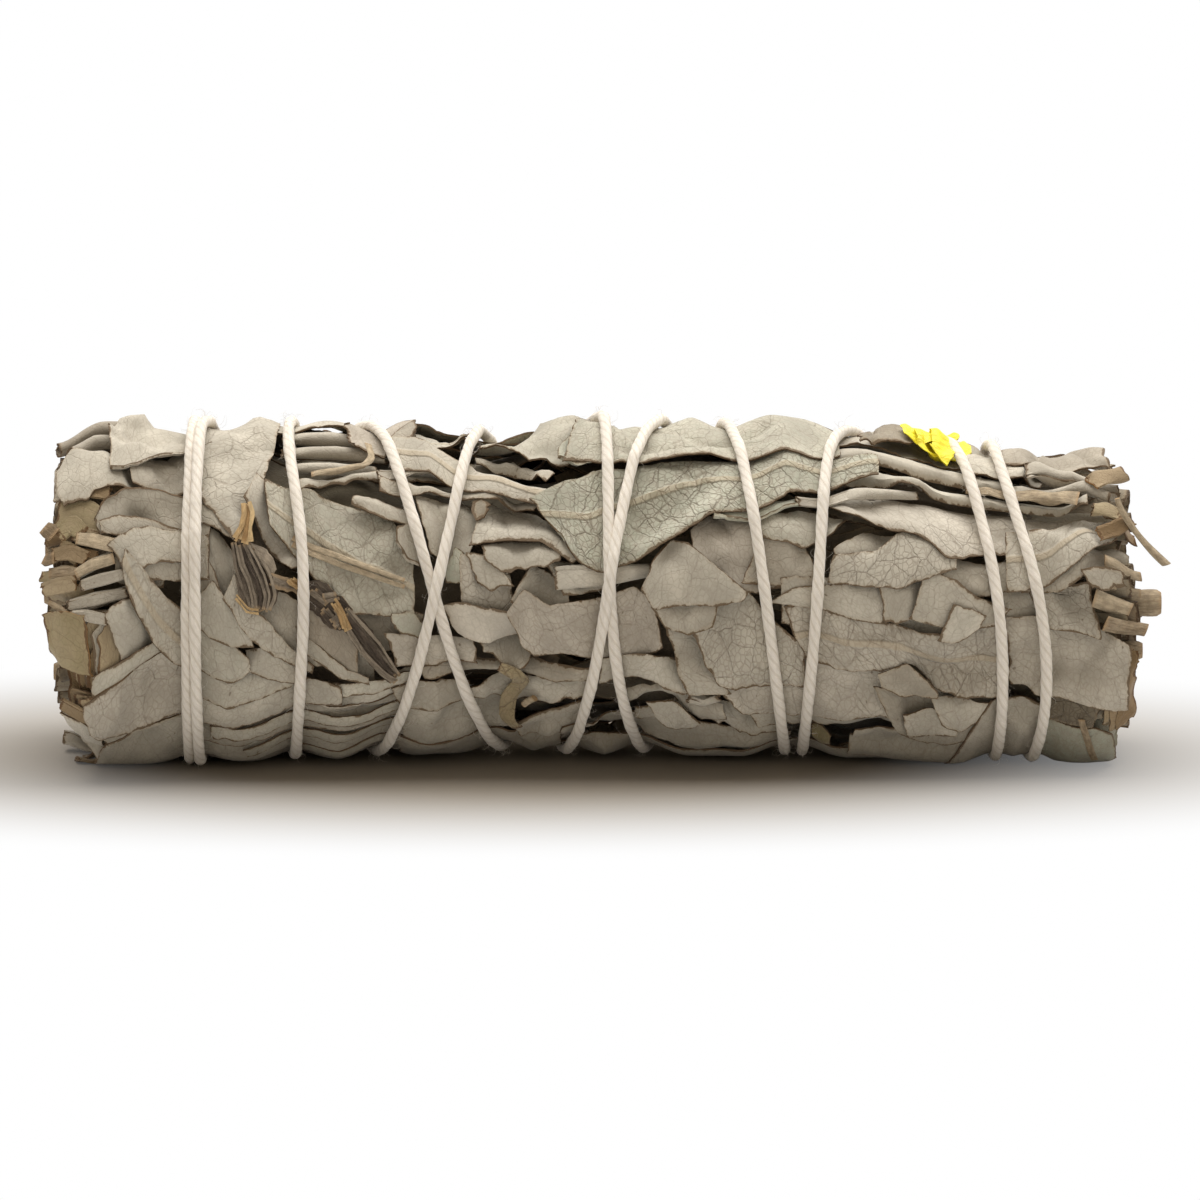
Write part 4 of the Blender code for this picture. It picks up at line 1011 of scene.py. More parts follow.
leaf("left_veined", [(-47.5, -25), (-44, -17), (-40.5, -9), (-35.5, -11)], [(-47, -33), (-46, -37),
     (-43, -37), (-35.5, -32)], vein=0.6, tone=0.62, green=0.05, stiffness=24, arch=0.5,
     torn=(0.06, 0.15, 0.3, 0.1), rim=(1.05, 1, 1, 0.8))
leaf("left_strip", [(-46.5, -14), (-43.5, -9), (-40.5, -5), (-36, -2)], [(-46.5, -21), (-43.5, -15),
     (-40.5, -10), (-36, -7)], lift=(0.1, 0.5, 0.4, 0.0), tone=0.62, green=0.25, torn=(0.1, 0.12, 0.1, 0.1),
     curl=(0.0, 0.4), curl_turn=120.0)
leaf("left_long_fold", [(-43.6, 24), (-42.3, 20), (-40, 9.5), (-37.5, 2), (-35.5, -4)], [(-43.8, 20),
     (-43.3, 13), (-41, -4), (-39.3, -13), (-36.5, -20)], crest=1.1, arch=0.9, tone=0.62, rib=0.55,
     ridge=0.15, vein=0.5, torn=(0.05, 0.06, 0.2, 0.1), stiffness=24)


# Leaves between the double string at the left and the pair that crosses beside it: long folds and rolls low
# down, broad torn pieces above; pale felt with brown torn rims, laid lengthwise and pressed under the string.
leaf("under_left", [(-36.5, -60), (-28, -65), (-18, -60)], [(-36.5, -86), (-28, -90), (-18, -88)], arch=0.5)
leaf("roll_low_left", [(-37, -50), (-32.5, -50), (-27.5, -49), (-22, -46), (-17, -44)], [(-37, -62),
     (-32.5, -63), (-27.5, -66), (-22, -63), (-17, -60)], arch=0.8, crest=1.5, wave=0.3, folds=(2, 0.45))
leaf("ribbed_low", [(-38, -40), (-35, -39), (-28.5, -36), (-23, -35), (-17, -31)], [(-38, -50), (-35, -51),
     (-28.5, -48), (-23, -46), (-17, -43)], arch=0.6, crest=1.4, wave=0.3, folds=(3, 0.5))
leaf("ribbed_middle", [(-29, -26), (-24.5, -27), (-21, -24), (-17, -20)], [(-29, -34), (-24.5, -35),
     (-21, -33), (-17, -31)], arch=0.6, crest=1.4, curl=(0.0, 0.7), curl_turn=150.0, folds=(2, 0.45))
for number, (upper, lower) in enumerate((
        ([(-33, -53), (-26, -48), (-18, -45)], [(-33, -58), (-26, -54), (-18, -50)]),
        ([(-28, -62), (-20, -57), (-13, -53)], [(-28, -68), (-20, -64), (-13, -59)]),
        ([(-36, -42), (-30, -39), (-22, -37), (-16, -34)], [(-36, -47), (-30, -45), (-22, -42), (-16, -39)]),
        ([(-37, -32), (-30, -27), (-24, -23), (-17, -21)],
         [(-37, -38), (-30, -32), (-24, -28), (-17, -26)]))):
    leaf(f"low_strip_{number + 1}", upper, lower, arch=0.5, crest=1.4, wave=0.3, lift=(0.1, 0.6, 0.2, 0.2),
         torn=(0.15, 0.25, 0.3, 0.3), tone=0.45 + 0.08 * number, green=0.25)
leaf("roll_left", [(-37, -29), (-34, -29), (-31, -23), (-28, -22), (-24, -24)], [(-37, -40), (-33.5, -39),
     (-31, -37), (-28, -34), (-24, -31)], arch=0.7, crest=1.5, tone=0.6, folds=(2, 0.5))
leaf("low_wing", [(-37.5, -13), (-34.5, -18), (-32.5, -15), (-28.5, -22)], [(-37.5, -26), (-35.5, -29),
     (-34.5, -30), (-28.5, -24)], tone=0.6, green=0.2)
leaf("low_corner", [(-32.7, -10), (-31, -8), (-28, -14)], [(-32.3, -16), (-30.5, -20), (-28, -24)],
     tone=0.65)
leaf("low_side", [(-37.3, 1), (-36, -2), (-34, -7), (-32.3, -12)], [(-37.3, -15), (-35.5, -19), (-34, -20),
     (-32.3, -16)], tone=0.62, green=0.25)
leaf("low_tip", [(-37, 9), (-35.6, 15), (-34, 6), (-32.3, -3)], [(-37, 0), (-36, -4), (-34, -7),
     (-31.9, -7)], tone=0.7, green=0.2, torn=(0.03, 0.05, 0.1, 0.1), lift=(0.1, 0.4, 0.1, 0.2))
leaf("bark_shadow", [(-27.8, 6), (-25.5, 4), (-22.5, -2)], [(-27.5, -6), (-25.5, -11), (-22.5, -19)],
     tone=0.15, green=0.1)
leaf("bark_side", [(-28, -3), (-26, -9), (-23.5, -17), (-21.5, -20)], [(-28, -11), (-26, -16), (-24, -21),
     (-21.5, -23)], tone=0.5, lift=(0.2, 0.1, 0.1, 0.1), green=0.2)
leaf("low_lens", [(-33.6, 17), (-33, 8), (-31, 3), (-29, -7), (-26.6, -17)], [(-34.6, 9), (-32.7, -3),
     (-30.5, -10), (-28.5, -16), (-26.6, -19)], tone=0.6, arch=0.6, vein=0.5)
leaf("small_wedge", [(-37, 45), (-35.5, 42), (-33.3, 31)], [(-37, 37), (-35.5, 34), (-33.5, 28)], tone=0.6)
rolled("upper_a", [(-29.5, 84), (-25, 84), (-21, 82)], (0.8, 1.0, 0.8), tone=0.6)
rolled("upper_b", [(-29.5, 73), (-25, 73), (-20, 71)], (0.7, 0.95, 0.8), tone=0.5, opening=-90.0)
leaf("top_rolls", [(-31, 106), (-25, 108), (-18, 106)], [(-31, 88), (-25, 87), (-18, 88)], arch=0.7)
rolled("upper_c", [(-29, 64), (-25, 63.5), (-21, 63)], (0.6, 0.8, 0.6), tone=0.65)
leaf("top_strip", [(-28.3, 57), (-24, 58), (-20.5, 60), (-17, 65), (-13.5, 71)], [(-27.8, 51), (-24, 53),
     (-20.5, 55), (-17, 58), (-13.5, 60)], lift=(0, 0.8, 0.4, 0), rim=(1, 1.1, 1, 1),
     torn=(0.1, 0.35, 0.2, 0.1), tone=0.55)
leaf("big_torn", [(-30.2, 104), (-30.5, 78), (-31.5, 57), (-32.6, 43), (-33.2, 31)], [(-36.7, 104),
     (-37, 66), (-36.6, 46), (-35, 38), (-33.6, 29)], tone=0.68, vein=0.6, arch=0.5, stiffness=24,
     torn=(0.12, 0.25, 0.1, 0.1), rim=(0.9, 1.08, 0.9, 1), lift=(0.2, 0.5, 0.0, 0.2))
leaf("beside_torn", [(-31.7, 56), (-30.5, 52), (-29, 42), (-27.5, 30), (-27.3, 20)], [(-32.8, 45),
     (-31.6, 37), (-31, 31), (-30, 24), (-28.5, 19)], tone=0.6, green=0.1, rim=(1, 1.05, 0.9, 1))
leaf("diamond", [(-31, 52), (-27.5, 50), (-23.5, 44), (-19.5, 38), (-17.4, 24)], [(-30.5, 36), (-28.5, 27),
     (-26, 15), (-23, 4), (-17.3, 1)], rib=0.56, ridge=0.2, vein=0.6, arch=0.9, crest=1.3, tone=0.45,
     green=0.35, stiffness=30, lift=(0.2, 0.5, 0.2, 0.3), torn=(0.1, 0.12, 0.1, 0.15))
make_piece("diamond_midrib", [
    lay_stalk([(-28.4, 29 + off), (-24, 21 + off), (-18.2, 12.5 + off)], (0.3, 0.26, 0.2), (0.22, 0.2, 0.15),
              tone=0.85, sink=0.5) for off in (-1.0, 1.4)], WOODY, "sage_leaf", "leaf_diamond")
leaf("edge_fold", [(-23, 46), (-21.5, 48), (-18, 43)], [(-23, 42), (-20.5, 38), (-17.3, 35)], tone=0.5,
     lift=(0.1, 0.4, 0.2, 0.2), rim=(1.05, 1.05, 1, 1))
leaf("curl_by_cross", [(-18.9, 34), (-17.6, 36), (-16.6, 32)], [(-19, 27), (-18, 20), (-16.6, 18)], arch=0.6,
     rim=(1, 1.1, 1.1, 1), curl=(0.0, 0.7), lift=(0.2, 0.5, 0.5, 0.1))
leaf("top_ragged", [(-24, 86), (-22.5, 96), (-20.5, 104), (-17.5, 104)], [(-23.5, 72), (-22, 70),
     (-20.5, 72), (-17.5, 80)], rim=1.2, torn=0.5, tone=0.4, wave=0.6, green=0.0)
leaf("top_brown_bit", [(-19.8, 82), (-19, 92), (-17.5, 98)], [(-19.3, 74), (-18, 78), (-17.2, 86)], rim=1.3,
     torn=0.4, tone=0.2, wave=0.6)


# Leaves of the middle, between the two crossings of the string: broken pieces of felted leaf, most of them
# short, with one long roll above and thin brown scraps; each is tucked under the next or under the string.
leaf("under_low", [(-18.5, -39), (-14.5, -38), (-11.5, -37), (-8.5, -41)], [(-18.5, -54), (-14.5, -58),
     (-11, -58), (-8.5, -56)], arch=0.5, tone=0.6, torn=(0.1, 0.1, 0.2, 0.2))
leaf("under_deep", [(-19, -57), (-12, -60), (-4, -58)], [(-19, -84), (-12, -88), (-4, -86)], tone=0.35,
     arch=0.6)
leaf("low_open", [(-8.3, -49), (-5, -43), (-1.5, -37)], [(-7.8, -58), (-5, -57), (-1.5, -52)], tone=0.5,
     arch=0.5, rim=(1.15, 0.9, 1, 1), lift=(0.6, 0.1, 0.1, 0.1))
leaf("low_fold_a", [(-19.5, -27), (-16, -26), (-12.3, -29)], [(-18.5, -38), (-16, -37), (-12.3, -37)],
     arch=0.6, crest=1.4, tone=0.5)
leaf("low_fold_b", [(-12.5, -31), (-10, -29), (-7.5, -27), (-4, -27), (-1, -27)], [(-12, -36), (-10, -38),
     (-8.5, -40), (-5, -38), (-1, -34)], arch=0.7, crest=1.4, tone=0.55, lift=(0.5, 0.2, 0.1, 0.1))
leaf("under_long", [(-17, -19), (-13, -18), (-9.5, -19), (-6.5, -18), (-1, -22)], [(-16.5, -24), (-13, -24),
     (-9, -23), (-5, -25), (-1, -27)], arch=0.6, tone=0.3, rim=1, lift=(0.1, 0.6, 0.1, 0.1),
     torn=(0.1, 0.15, 0.1, 0.1))
leaf("low_block", [(-20, -5), (-16.5, -7), (-14, -9), (-11.7, -9)], [(-19, -18), (-16, -18), (-14, -18),
     (-11.7, -18)], tone=0.7, arch=0.5, green=0.05, torn=(0.15, 0.1, 0.3, 0.25), rim=(0.8, 0.9, 1.05, 1.1))
leaf("green_scrap", [(-19.3, 2), (-17.7, 3), (-16.2, -4)], [(-19.2, -2), (-17.7, -7), (-16.2, -9)],
     green=0.5, torn=(0.3, 0.3, 0.3, 0.2))
leaf("shaded_block", [(-11.5, -9), (-9.5, -7), (-8.5, -8), (-6.3, -13)], [(-11, -13), (-9.5, -18), (-8, -20),
     (-7.4, -18)], tone=0.4, arch=0.5, torn=(0.1, 0.2, 0.2, 0.2))
leaf("upper_mid", [(-17.3, 48), (-14, 47), (-10.7, 46)], [(-16, 26), (-14.5, 22), (-12.3, 25)], tone=0.55,
     torn=(0.1, 0.2, 0.2, 0.2))
leaf("green_bit", [(-14.6, 18), (-13.6, 26), (-12.8, 24)], [(-14.4, 13), (-13.2, 13), (-12.5, 14)],
     green=0.7, torn=0.2, tone=0.6)
leaf("mid_block", [(-13.2, 22), (-11.5, 21), (-9, 19)], [(-13, 0), (-11, -1), (-8.3, 3)], tone=0.55,
     arch=0.5, torn=(0.1, 0.1, 0.15, 0.3), green=0.1, vein=0.6)
leaf("mid_right", [(-6.8, 18), (-5.5, 16), (-3.2, 9)], [(-8.6, 6), (-7, 1), (-3.2, 4)], tone=0.5,
     lift=(0.2, 0.4, 0.5, 0.1))
leaf("mid_right_pale", [(-5.8, 21), (-2.5, 19), (0.3, 18)], [(-3.7, 8), (-2, 8), (0.3, 10)], tone=0.68,
     rim=(1, 1, 1.1, 1), lift=(0.3, 0.2, 0.5, 0.1), torn=(0.1, 0.1, 0.3, 0.1))
leaf("mid_shard", [(-12.6, 23), (-11.4, 22), (-9.8, 21)], [(-11.7, 14), (-10.5, 10), (-8.3, 11)], tone=0.6,
     torn=(0.15, 0.3, 0.25, 0.25), rim=(1, 1.1, 1.1, 1.1), lift=(0.2, 0.5, 0.3, 0.3))
leaf("pale_cracked", [(-14.7, 4), (-12.5, 5), (-11, 3), (-8.5, 2), (-6.2, -3)], [(-13.7, -6), (-12.7, -8),
     (-11, -9), (-8.5, -8), (-6.5, -6)], tone=0.85, green=0.0, torn=(0.2, 0.1, 0.2, 0.1),
     rim=(1.05, 0.8, 1, 0.8), lift=(0.4, 0.3, 0.4, 0.1), vein=0.2)
leaf("beige_middle", [(-8.8, 1), (-7.3, 9), (-5, 3), (-0.5, 5), (2.8, 9), (4.6, 2)], [(-7.6, -9),
     (-6.5, -13), (-4, -14), (-0.5, -17), (3, -17), (5.2, -11)], tone=0.55, green=0.0, arch=0.7, vein=0.5,
     stiffness=28, torn=(0.12, 0.1, 0.2, 0.05), lift=(0.5, 0.5, 0.3, 0.3))
leaf("mid_flap", [(-11.2, 26), (-8.5, 28), (-6, 28), (-4, 22)], [(-11, 21), (-9.5, 16), (-7, 16), (-4, 19)],
     tone=0.7, torn=(0.1, 0.3, 0.2, 0.2), rim=(1, 1.1, 1, 1), lift=(0.2, 0.5, 0.2, 0.3))
leaf("mid_folded", [(-11.2, 46), (-9, 44), (-6.5, 42), (-4.5, 33), (-2.3, 20)], [(-12.2, 27), (-9, 28),
     (-5.7, 27), (-4.2, 23), (-2.8, 19)], tone=0.72, vein=0.5, stiffness=24, torn=(0.1, 0.12, 0.2, 0.2),
     rim=(0.9, 1.1, 1, 1.05), lift=(0.1, 0.6, 0.3, 0.4))
leaf("brown_flap", [(-12.3, 45), (-11.4, 46), (-10.6, 41)], [(-11.8, 36), (-11, 36), (-10.5, 39)], tone=0.05,
     torn=0.3, rim=1.2)
rolled("upper_left_mid", [(-20.6, 57), (-18, 61), (-13.4, 65)], (0.75, 0.9, 0.7), tone=0.6)
leaf("upper_strip_mid", [(-20.5, 56), (-14, 54), (-5.5, 43)], [(-20.5, 49), (-14, 48), (-6.5, 39)],
     tone=0.45)
leaf("long_roll", [(-19.5, 82), (-16, 73), (-12.7, 66), (-7.5, 53), (-3.8, 45)], [(-19.7, 64), (-16, 58),
     (-12.5, 51), (-9.5, 45), (-5.5, 40)], arch=1.2, crest=1.6, tone=0.62, stiffness=30, rib=0.5, ridge=0.1,
     torn=(0.05, 0.1, 0.2, 0.2))
leaf("ridge_over", [(-12, 78), (-9.5, 73), (-7, 67), (-4.6, 54)], [(-11.8, 70), (-9.5, 66), (-7.5, 60),
     (-5.4, 49)], arch=0.8, crest=1.4, tone=0.55)
leaf("top_torn", [(-12.2, 88), (-8, 98), (-6, 106), (-2.5, 108), (0, 104)], [(-11.2, 74), (-9.5, 73),
     (-6.5, 63), (-4, 63), (-0.5, 73)], tone=0.5, torn=(0.1, 0.25, 0.4, 0.2), green=0.3,
     rim=(1, 1.1, 1.1, 1), lift=(0, 0.8, 0.4, 0), wave=0.3, stiffness=24)
leaf("green_curl", [(-4.2, 65), (-3, 74), (-0.2, 75)], [(-4.2, 57), (-2.6, 55), (0, 61)], green=0.6,
     tone=0.4, lift=(0.2, 0.9, 0.5, 0.2), curl=(0.0, 1.0), curl_turn=170.0, rim=(1, 1.05, 1, 1),
     torn=(0.1, 0.1, 0.2, 0.1))

stalk("s_strip", [(-9.6, -18), (-8, -21), (-7.5, -27), (-8.8, -36), (-9, -45), (-8, -49)],
      (0.5, 0.75, 0.8, 0.7), (0.25, 0.3, 0.3), finishes=WORN, tone=0.75, green=0.5)
stalk("little_stick", [(-7.4, -39), (-6.4, -34)], 0.32, tone=0.8, green=0.4)


# Leaves to the right of the middle crossing, low and in front: broad felted pieces that arch over one
# another, a pale finger-like roll and an olive one, held where the string crosses their ends.
leaf("bottom_right", [(-4, -54), (2.5, -52), (6, -49), (8.5, -53), (17, -60)], [(-4, -66), (3.5, -62),
     (7.5, -66), (11, -67), (17, -70)], tone=0.5, lift=(0.4, 0.1, 0.1, 0.1))
leaf("bud_a", [(18.9, -54), (19.8, -52), (20.7, -56)], [(19, -62), (19.9, -66), (20.6, -62)], WORN,
     green=0.9, tone=0.8, wave=0.6, lift=(0.3, 0.5, 0.3, 0.3))
leaf("bottom_deep", [(-3, -64), (8, -68), (20, -66), (33, -64)], [(-3, -88), (8, -90), (20, -90), (33, -88)],
     tone=0.4)
leaf("low_long", [(2.7, -43), (7, -40), (10, -38), (16.5, -46)], [(2.7, -49), (7, -46), (11, -51),
     (16.5, -57)], arch=0.6, tone=0.6, lift=(0.3, 0.4, 0.1, 0.1))
leaf("under_right", [(1.2, -34), (5, -28), (7.5, -31), (10.7, -36)], [(1.7, -40), (5, -33), (8.5, -42),
     (11.2, -42)], tone=0.45, arch=0.6, lift=(0.4, 0.4, 0.1, 0.1))
leaf("low_flap", [(3.8, -35), (6, -33), (8.7, -42)], [(4.8, -43), (6.5, -49), (8.2, -45)], tone=0.65,
     lift=(0.3, 0.4, 0.3, 0.3))
leaf("right_wedge", [(-0.5, -18), (2.5, -15), (4, -14), (6.5, -18), (9.5, -28)], [(-0.5, -28), (2.5, -25),
     (4.5, -26), (7, -29), (9.5, -30)], tone=0.68, arch=0.5)
rolled("little_loop", [(7.6, -31), (9, -33.5), (10.4, -31.5)], 0.42, tone=0.6, turns=1.1)
leaf("low_large_under", [(12.3, -35), (17, -37), (21.5, -38), (26.5, -35)], [(14, -48), (17.5, -50),
     (22.5, -48), (27.5, -46)], tone=0.6, arch=0.5)
leaf("low_large", [(10.8, -29), (11.5, -25), (15.5, -12), (19.5, -11), (26.5, -12)], [(12.3, -37),
     (15.5, -42), (19.5, -43), (22.5, -40), (26.5, -37)], tone=0.66, green=0.05, stiffness=30, arch=0.6,
     vein=0.5, torn=(0.1, 0.1, 0.2, 0.1), rim=(0.9, 0.9, 1.1, 0.9), lift=(0.2, 0.5, 0.4, 0.2))
leaf("upright_strip", [(8.3, -2), (9.2, -11), (9.8, -21), (11.3, -28)], [(5.5, -3), (6.5, -14), (7, -23),
     (7.7, -29)], tone=0.5, arch=0.3, torn=(0.1, 0.12, 0.1, 0.1), stiffness=20)
leaf("scalloped", [(8.6, -3), (10.5, 3), (12.7, 8), (15, -3), (18.2, -13)], [(8.2, -5), (9.2, -16),
     (10.2, -23), (13, -26), (18.2, -28)], tone=0.62, vein=0.75, stiffness=24, torn=(0.1, 0.3, 0.15, 0.1),
     rim=(1, 1.05, 0.9, 0.9), lift=(0.3, 0.3, 0.2, 0.1))
leaf("right_notch", [(4.3, 3), (7.5, 10), (10.7, 8)], [(5.3, -3), (7.5, -6), (9.7, -3)], tone=0.45,
     torn=(0.2, 0.1, 0.2, 0.25), lift=(0.2, 0.3, 0.2, 0.3), rim=(1, 1, 1, 1.1))
leaf("right_square", [(7.8, 30), (9.6, 38), (13, 35), (16.5, 30)], [(8, 20), (10, 15), (12.5, 9),
     (16.5, 11)], tone=0.6, green=0.0, arch=0.5, torn=(0.1, 0.25, 0.15, 0.1))
rolled("pale_finger", [(-4.5, 13), (0, 14), (4.2, 16.5)], (1.15, 1.2, 0.75), tone=0.85, opening=-70.0)
leaf("arched", [(4.3, 18), (6, 27), (7.5, 25), (10, 17), (13, 8)], [(3.3, 10), (4.5, 3), (7.5, 5), (10.5, 5),
     (12.7, 6)], tone=0.6, arch=1.1, crest=1.5, stiffness=24, rim=(1.05, 1, 0.9, 1),
     lift=(0.7, 0.1, 0.2, 0.2), curl=(0.5, 0.0), curl_turn=100.0, torn=(0.05, 0.15, 0.1, 0.1))
leaf("right_gap_side", [(14.2, 29), (18, 25), (19, 18)], [(12.5, 12), (15.5, 11), (19, 13)], tone=0.35)
leaf("right_tongue", [(14, 35), (17.5, 40), (22, 39)], [(14.3, 28), (18, 24), (20.7, 31)], tone=0.6,
     green=0.3, lift=(0.1, 0.5, 0.2, 0.4), vein=0.5)
leaf("olive_roll", [(9.8, 36), (12.5, 40), (18, 47)], [(9.8, 32), (14, 32), (17.7, 38)], green=0.75,
     tone=0.55, arch=0.8, crest=1.4, curl=(0.0, 0.7))


# Leaves of the right part, up to the cut end: pleated and veined pieces of felted leaf, thin dark film
# between them, and at the cut rolled stubs and woody stalks; the two turns of string there hold them.
leaf("far_under", [(32, -44), (38, -42), (46, -50)], [(32, -84), (38, -86), (45, -80)], tone=0.4, arch=0.5)
leaf("lower_right_tuck", [(22.8, -48), (27, -48), (30.5, -43), (33, -42)], [(22.3, -64), (27, -69),
     (31.5, -69), (33, -68)], tone=0.5, arch=0.5)
leaf("end_low", [(38.8, -46), (42, -38), (45.3, -32), (47.4, -42)], [(38.4, -66), (42, -74), (45.3, -70),
     (47, -62)], tone=0.15, green=0.5, arch=0.7, torn=(0.2, 0.2, 0.3, 0.3))
leaf("bud_b", [(38.3, -72), (38.9, -69), (39.5, -73)], [(38.4, -82), (38.9, -85), (39.4, -82)], WORN,
     green=0.9, tone=0.7, wave=0.6, lift=(0.3, 0.5, 0.3, 0.3))
leaf("dark_film", [(40.8, -26), (43.5, -25), (46, -30)], [(40.8, -39), (43, -37), (45.3, -36)], tone=0.1,
     green=0.2, wave=0.5, lift=(0.4, 0.5, 0.2, 0.4))
leaf("shaded_inner", [(24.7, -28), (29.5, -26), (36.3, -27)], [(26.7, -44), (29.5, -50), (34.3, -45)],
     tone=0.3, arch=0.5)
leaf("small_pointed", [(27.2, -35), (30, -31), (32.2, -39)], [(27.7, -46), (30, -44), (32.2, -42)], tone=0.6,
     lift=(0.3, 0.4, 0.4, 0.4))
leaf("gap_tongue", [(29.7, -27), (32.5, -27), (35.2, -30)], [(30.7, -36), (32.5, -39), (34.8, -37)],
     tone=0.6)
leaf("triangle_low", [(31.3, -69), (33.5, -43), (35.5, -29), (40.2, -33)], [(32.3, -76), (35, -73),
     (38.7, -70), (39.8, -50)], tone=0.6, torn=(0.08, 0.15, 0.1, 0.25), rim=(1.05, 1, 1, 1.1),
     lift=(0.5, 0.2, 0.2, 0.4))
for number in range(3):
    edge = 46.9 + 0.6 * number
    leaf(f"right_rim_{number + 1}", [(edge - 1.4, -4 - 2 * number), (edge, -5 - 2 * number),
         (edge + 0.5, -9)], [(edge - 1.4, -40), (edge, -42 + 3 * number), (edge + 0.4, -36)], WORN,
         tone=0.5 - 0.2 * number, sink=0.5 * number, torn=(0.2, 0.2, 0.2, 0.35), lift=(0.1, 0.1, 0.0, 0.4),
         rim=(0.9, 0.9, 0.5, 1.1))
leaf("between_strings", [(36, 15), (37.5, 16), (40, 17)], [(36, 1), (38, 0), (40.5, 2)], tone=0.5)
leaf("low_end_inner", [(40, -39), (42.5, -41), (45, -40), (46.5, -44)], [(40, -64), (43, -74), (45.5, -72),
     (47, -63)], tone=0.12, green=0.6, lift=(0.3, 0.6, 0.3, 0.3), rim=(1, 1.1, 1, 1.1))
leaf("film", [(40, -28), (42, -24), (45.5, -27)], [(40.5, -37), (42.5, -38), (44.5, -37)], (HEART, TORN),
     tone=0.75, vein=1.0, wave=0.6, lift=(0.2, 0.2, 0.6, 0.2), rim=(1, 0.8, 1.2, 1))
stalk("low_end_twig", [(43.5, -34), (44, -42), (45, -61)], 0.32, tone=0.4)
leaf("broad_right", [(36.3, 5), (40, 7), (44, 4), (48, -5)], [(36.9, -21), (40, -25), (44, -26),
     (47.8, -30)], tone=0.55, green=0.1, vein=0.4, stiffness=24, torn=(0.08, 0.1, 0.35, 0.12),
     rim=(0.9, 0.9, 1.1, 1.05), lift=(0.2, 0.3, 0.6, 0.3))
leaf("tall_veined", [(38.8, 16), (41.5, 20), (44.3, 21)], [(39.8, 4), (42.5, 3), (45.2, 0)], vein=0.7,
     tone=0.6, torn=(0.1, 0.1, 0.2, 0.2), rim=(1, 1, 0.9, 1.1), lift=(0.3, 0.1, 0.2, 0.4))
leaf("inner_shadow_right", [(16, 12), (22, 14), (31, 12)], [(16, -2), (22, -4), (31, -4)], tone=0.5)
leaf("folded_low", [(16.3, 2), (18.5, 4), (21, 0), (23.5, 0), (29, -3), (32.5, -2), (36.5, 6)], [(18.3, -16),
     (21, -18), (25.5, -17), (27.5, -13), (30, -22), (33, -24), (36.7, -27)], tone=0.6, green=0.1, rib=0.5,
     ridge=0.3, arch=0.8, crest=1.5, vein=0.7, stiffness=30, torn=(0.15, 0.3, 0.2, 0.15), rim=(1.1, 1, 1, 1),
     lift=(0.3, 0.9, 0.2, 0.3))
leaf("grey_tip", [(24.8, -19), (27.5, -13), (30.3, -22)], [(25.2, -24), (27, -27), (30.3, -25)], tone=0.3,
     arch=0.6, lift=(0.2, 0.4, 0.3, 0.2), torn=(0.05, 0.05, 0.1, 0.1))
leaf("right_low_tongue", [(14.8, 4), (17, 10), (21.5, 12), (25, 13), (27.2, 11)], [(16.8, 4), (20, 2),
     (22.5, 0), (25, -1), (26.7, 8)], tone=0.68, arch=0.6, lift=(0.2, 0.5, 0.2, 0.5),
     torn=(0.08, 0.15, 0.1, 0.2), rim=(1, 1.05, 0.9, 1.1))
leaf("right_steps", [(24.8, 14), (27.5, 17), (29.7, 23)], [(25.3, 2), (27, 2), (28.7, 5)], tone=0.55,
     torn=(0.1, 0.3, 0.3, 0.2), rim=(1, 1.1, 1.05, 1), lift=(0.2, 0.5, 0.2, 0.2))
leaf("right_dark_roll", [(30, 24), (32, 28), (34.5, 27), (39, 31)], [(29.7, 17), (32.5, 13), (35, 15),
     (38.7, 20)], tone=0.45, arch=1.0, crest=1.6, stiffness=24)
leaf("right_four", [(29, 21), (32, 18), (33.7, 13), (36.7, 9)], [(27.7, 4), (31, 2), (32.7, 2), (36, 4)],
     tone=0.6, torn=(0.12, 0.12, 0.25, 0.25), lift=(0.4, 0.3, 0.4, 0.2), rim=(1.05, 1, 1, 1))
leaf("tan_triangle", [(31.5, 10), (33.2, 9), (34.7, 7)], [(30.2, -3), (32, -3), (34, 2)], tone=0.8,
     rim=(1, 1, 1.2, 1), lift=(0.2, 0.3, 0.5, 0.2))
leaf("right_upper_step", [(20.7, 25), (23.5, 33), (27.3, 33)], [(21.2, 21), (23.5, 20), (26, 23)], tone=0.5,
     lift=(0.1, 0.3, 0.2, 0.2))
leaf("right_veined", [(20.7, 22), (24.5, 23), (27, 33), (30, 34), (32, 27)], [(20.2, 13), (23, 12),
     (26.5, 13), (28.5, 17), (32, 24)], tone=0.66, vein=0.8, arch=0.9, crest=1.6, stiffness=24,
     torn=(0.15, 0.15, 0.1, 0.1), lift=(0.2, 0.5, 0.1, 0.2))
leaf("right_pale", [(19.5, 44), (24, 47), (29.5, 51), (36, 53), (43.5, 51)], [(21.7, 39), (25.5, 34),
     (29, 33), (31, 27), (35, 32), (43.5, 34)], tone=0.75, green=0.05, stiffness=28, vein=0.6,
     torn=(0.05, 0.3, 0.2, 0.1), rim=(0.8, 1.1, 1, 0.9), lift=(0.1, 0.9, 0.3, 0.1))
leaf("right_folded_under", [(37.5, 30), (41, 30), (46.5, 43), (48, 42)], [(38, 17), (41.5, 18), (45, 29),
     (48, 36)], tone=0.4, arch=0.8)
leaf("right_folded", [(36.5, 40), (40.5, 42), (42.5, 49), (46.5, 56)], [(36.5, 17), (40, 20), (43, 30),
     (46.7, 44)], tone=0.66, vein=0.5, arch=1.1, crest=1.3, stiffness=28, rib=0.5, ridge=0.1,
     torn=(0.1, 0.1, 0.1, 0.2), lift=(0.1, 0.5, 0.1, 0.3))
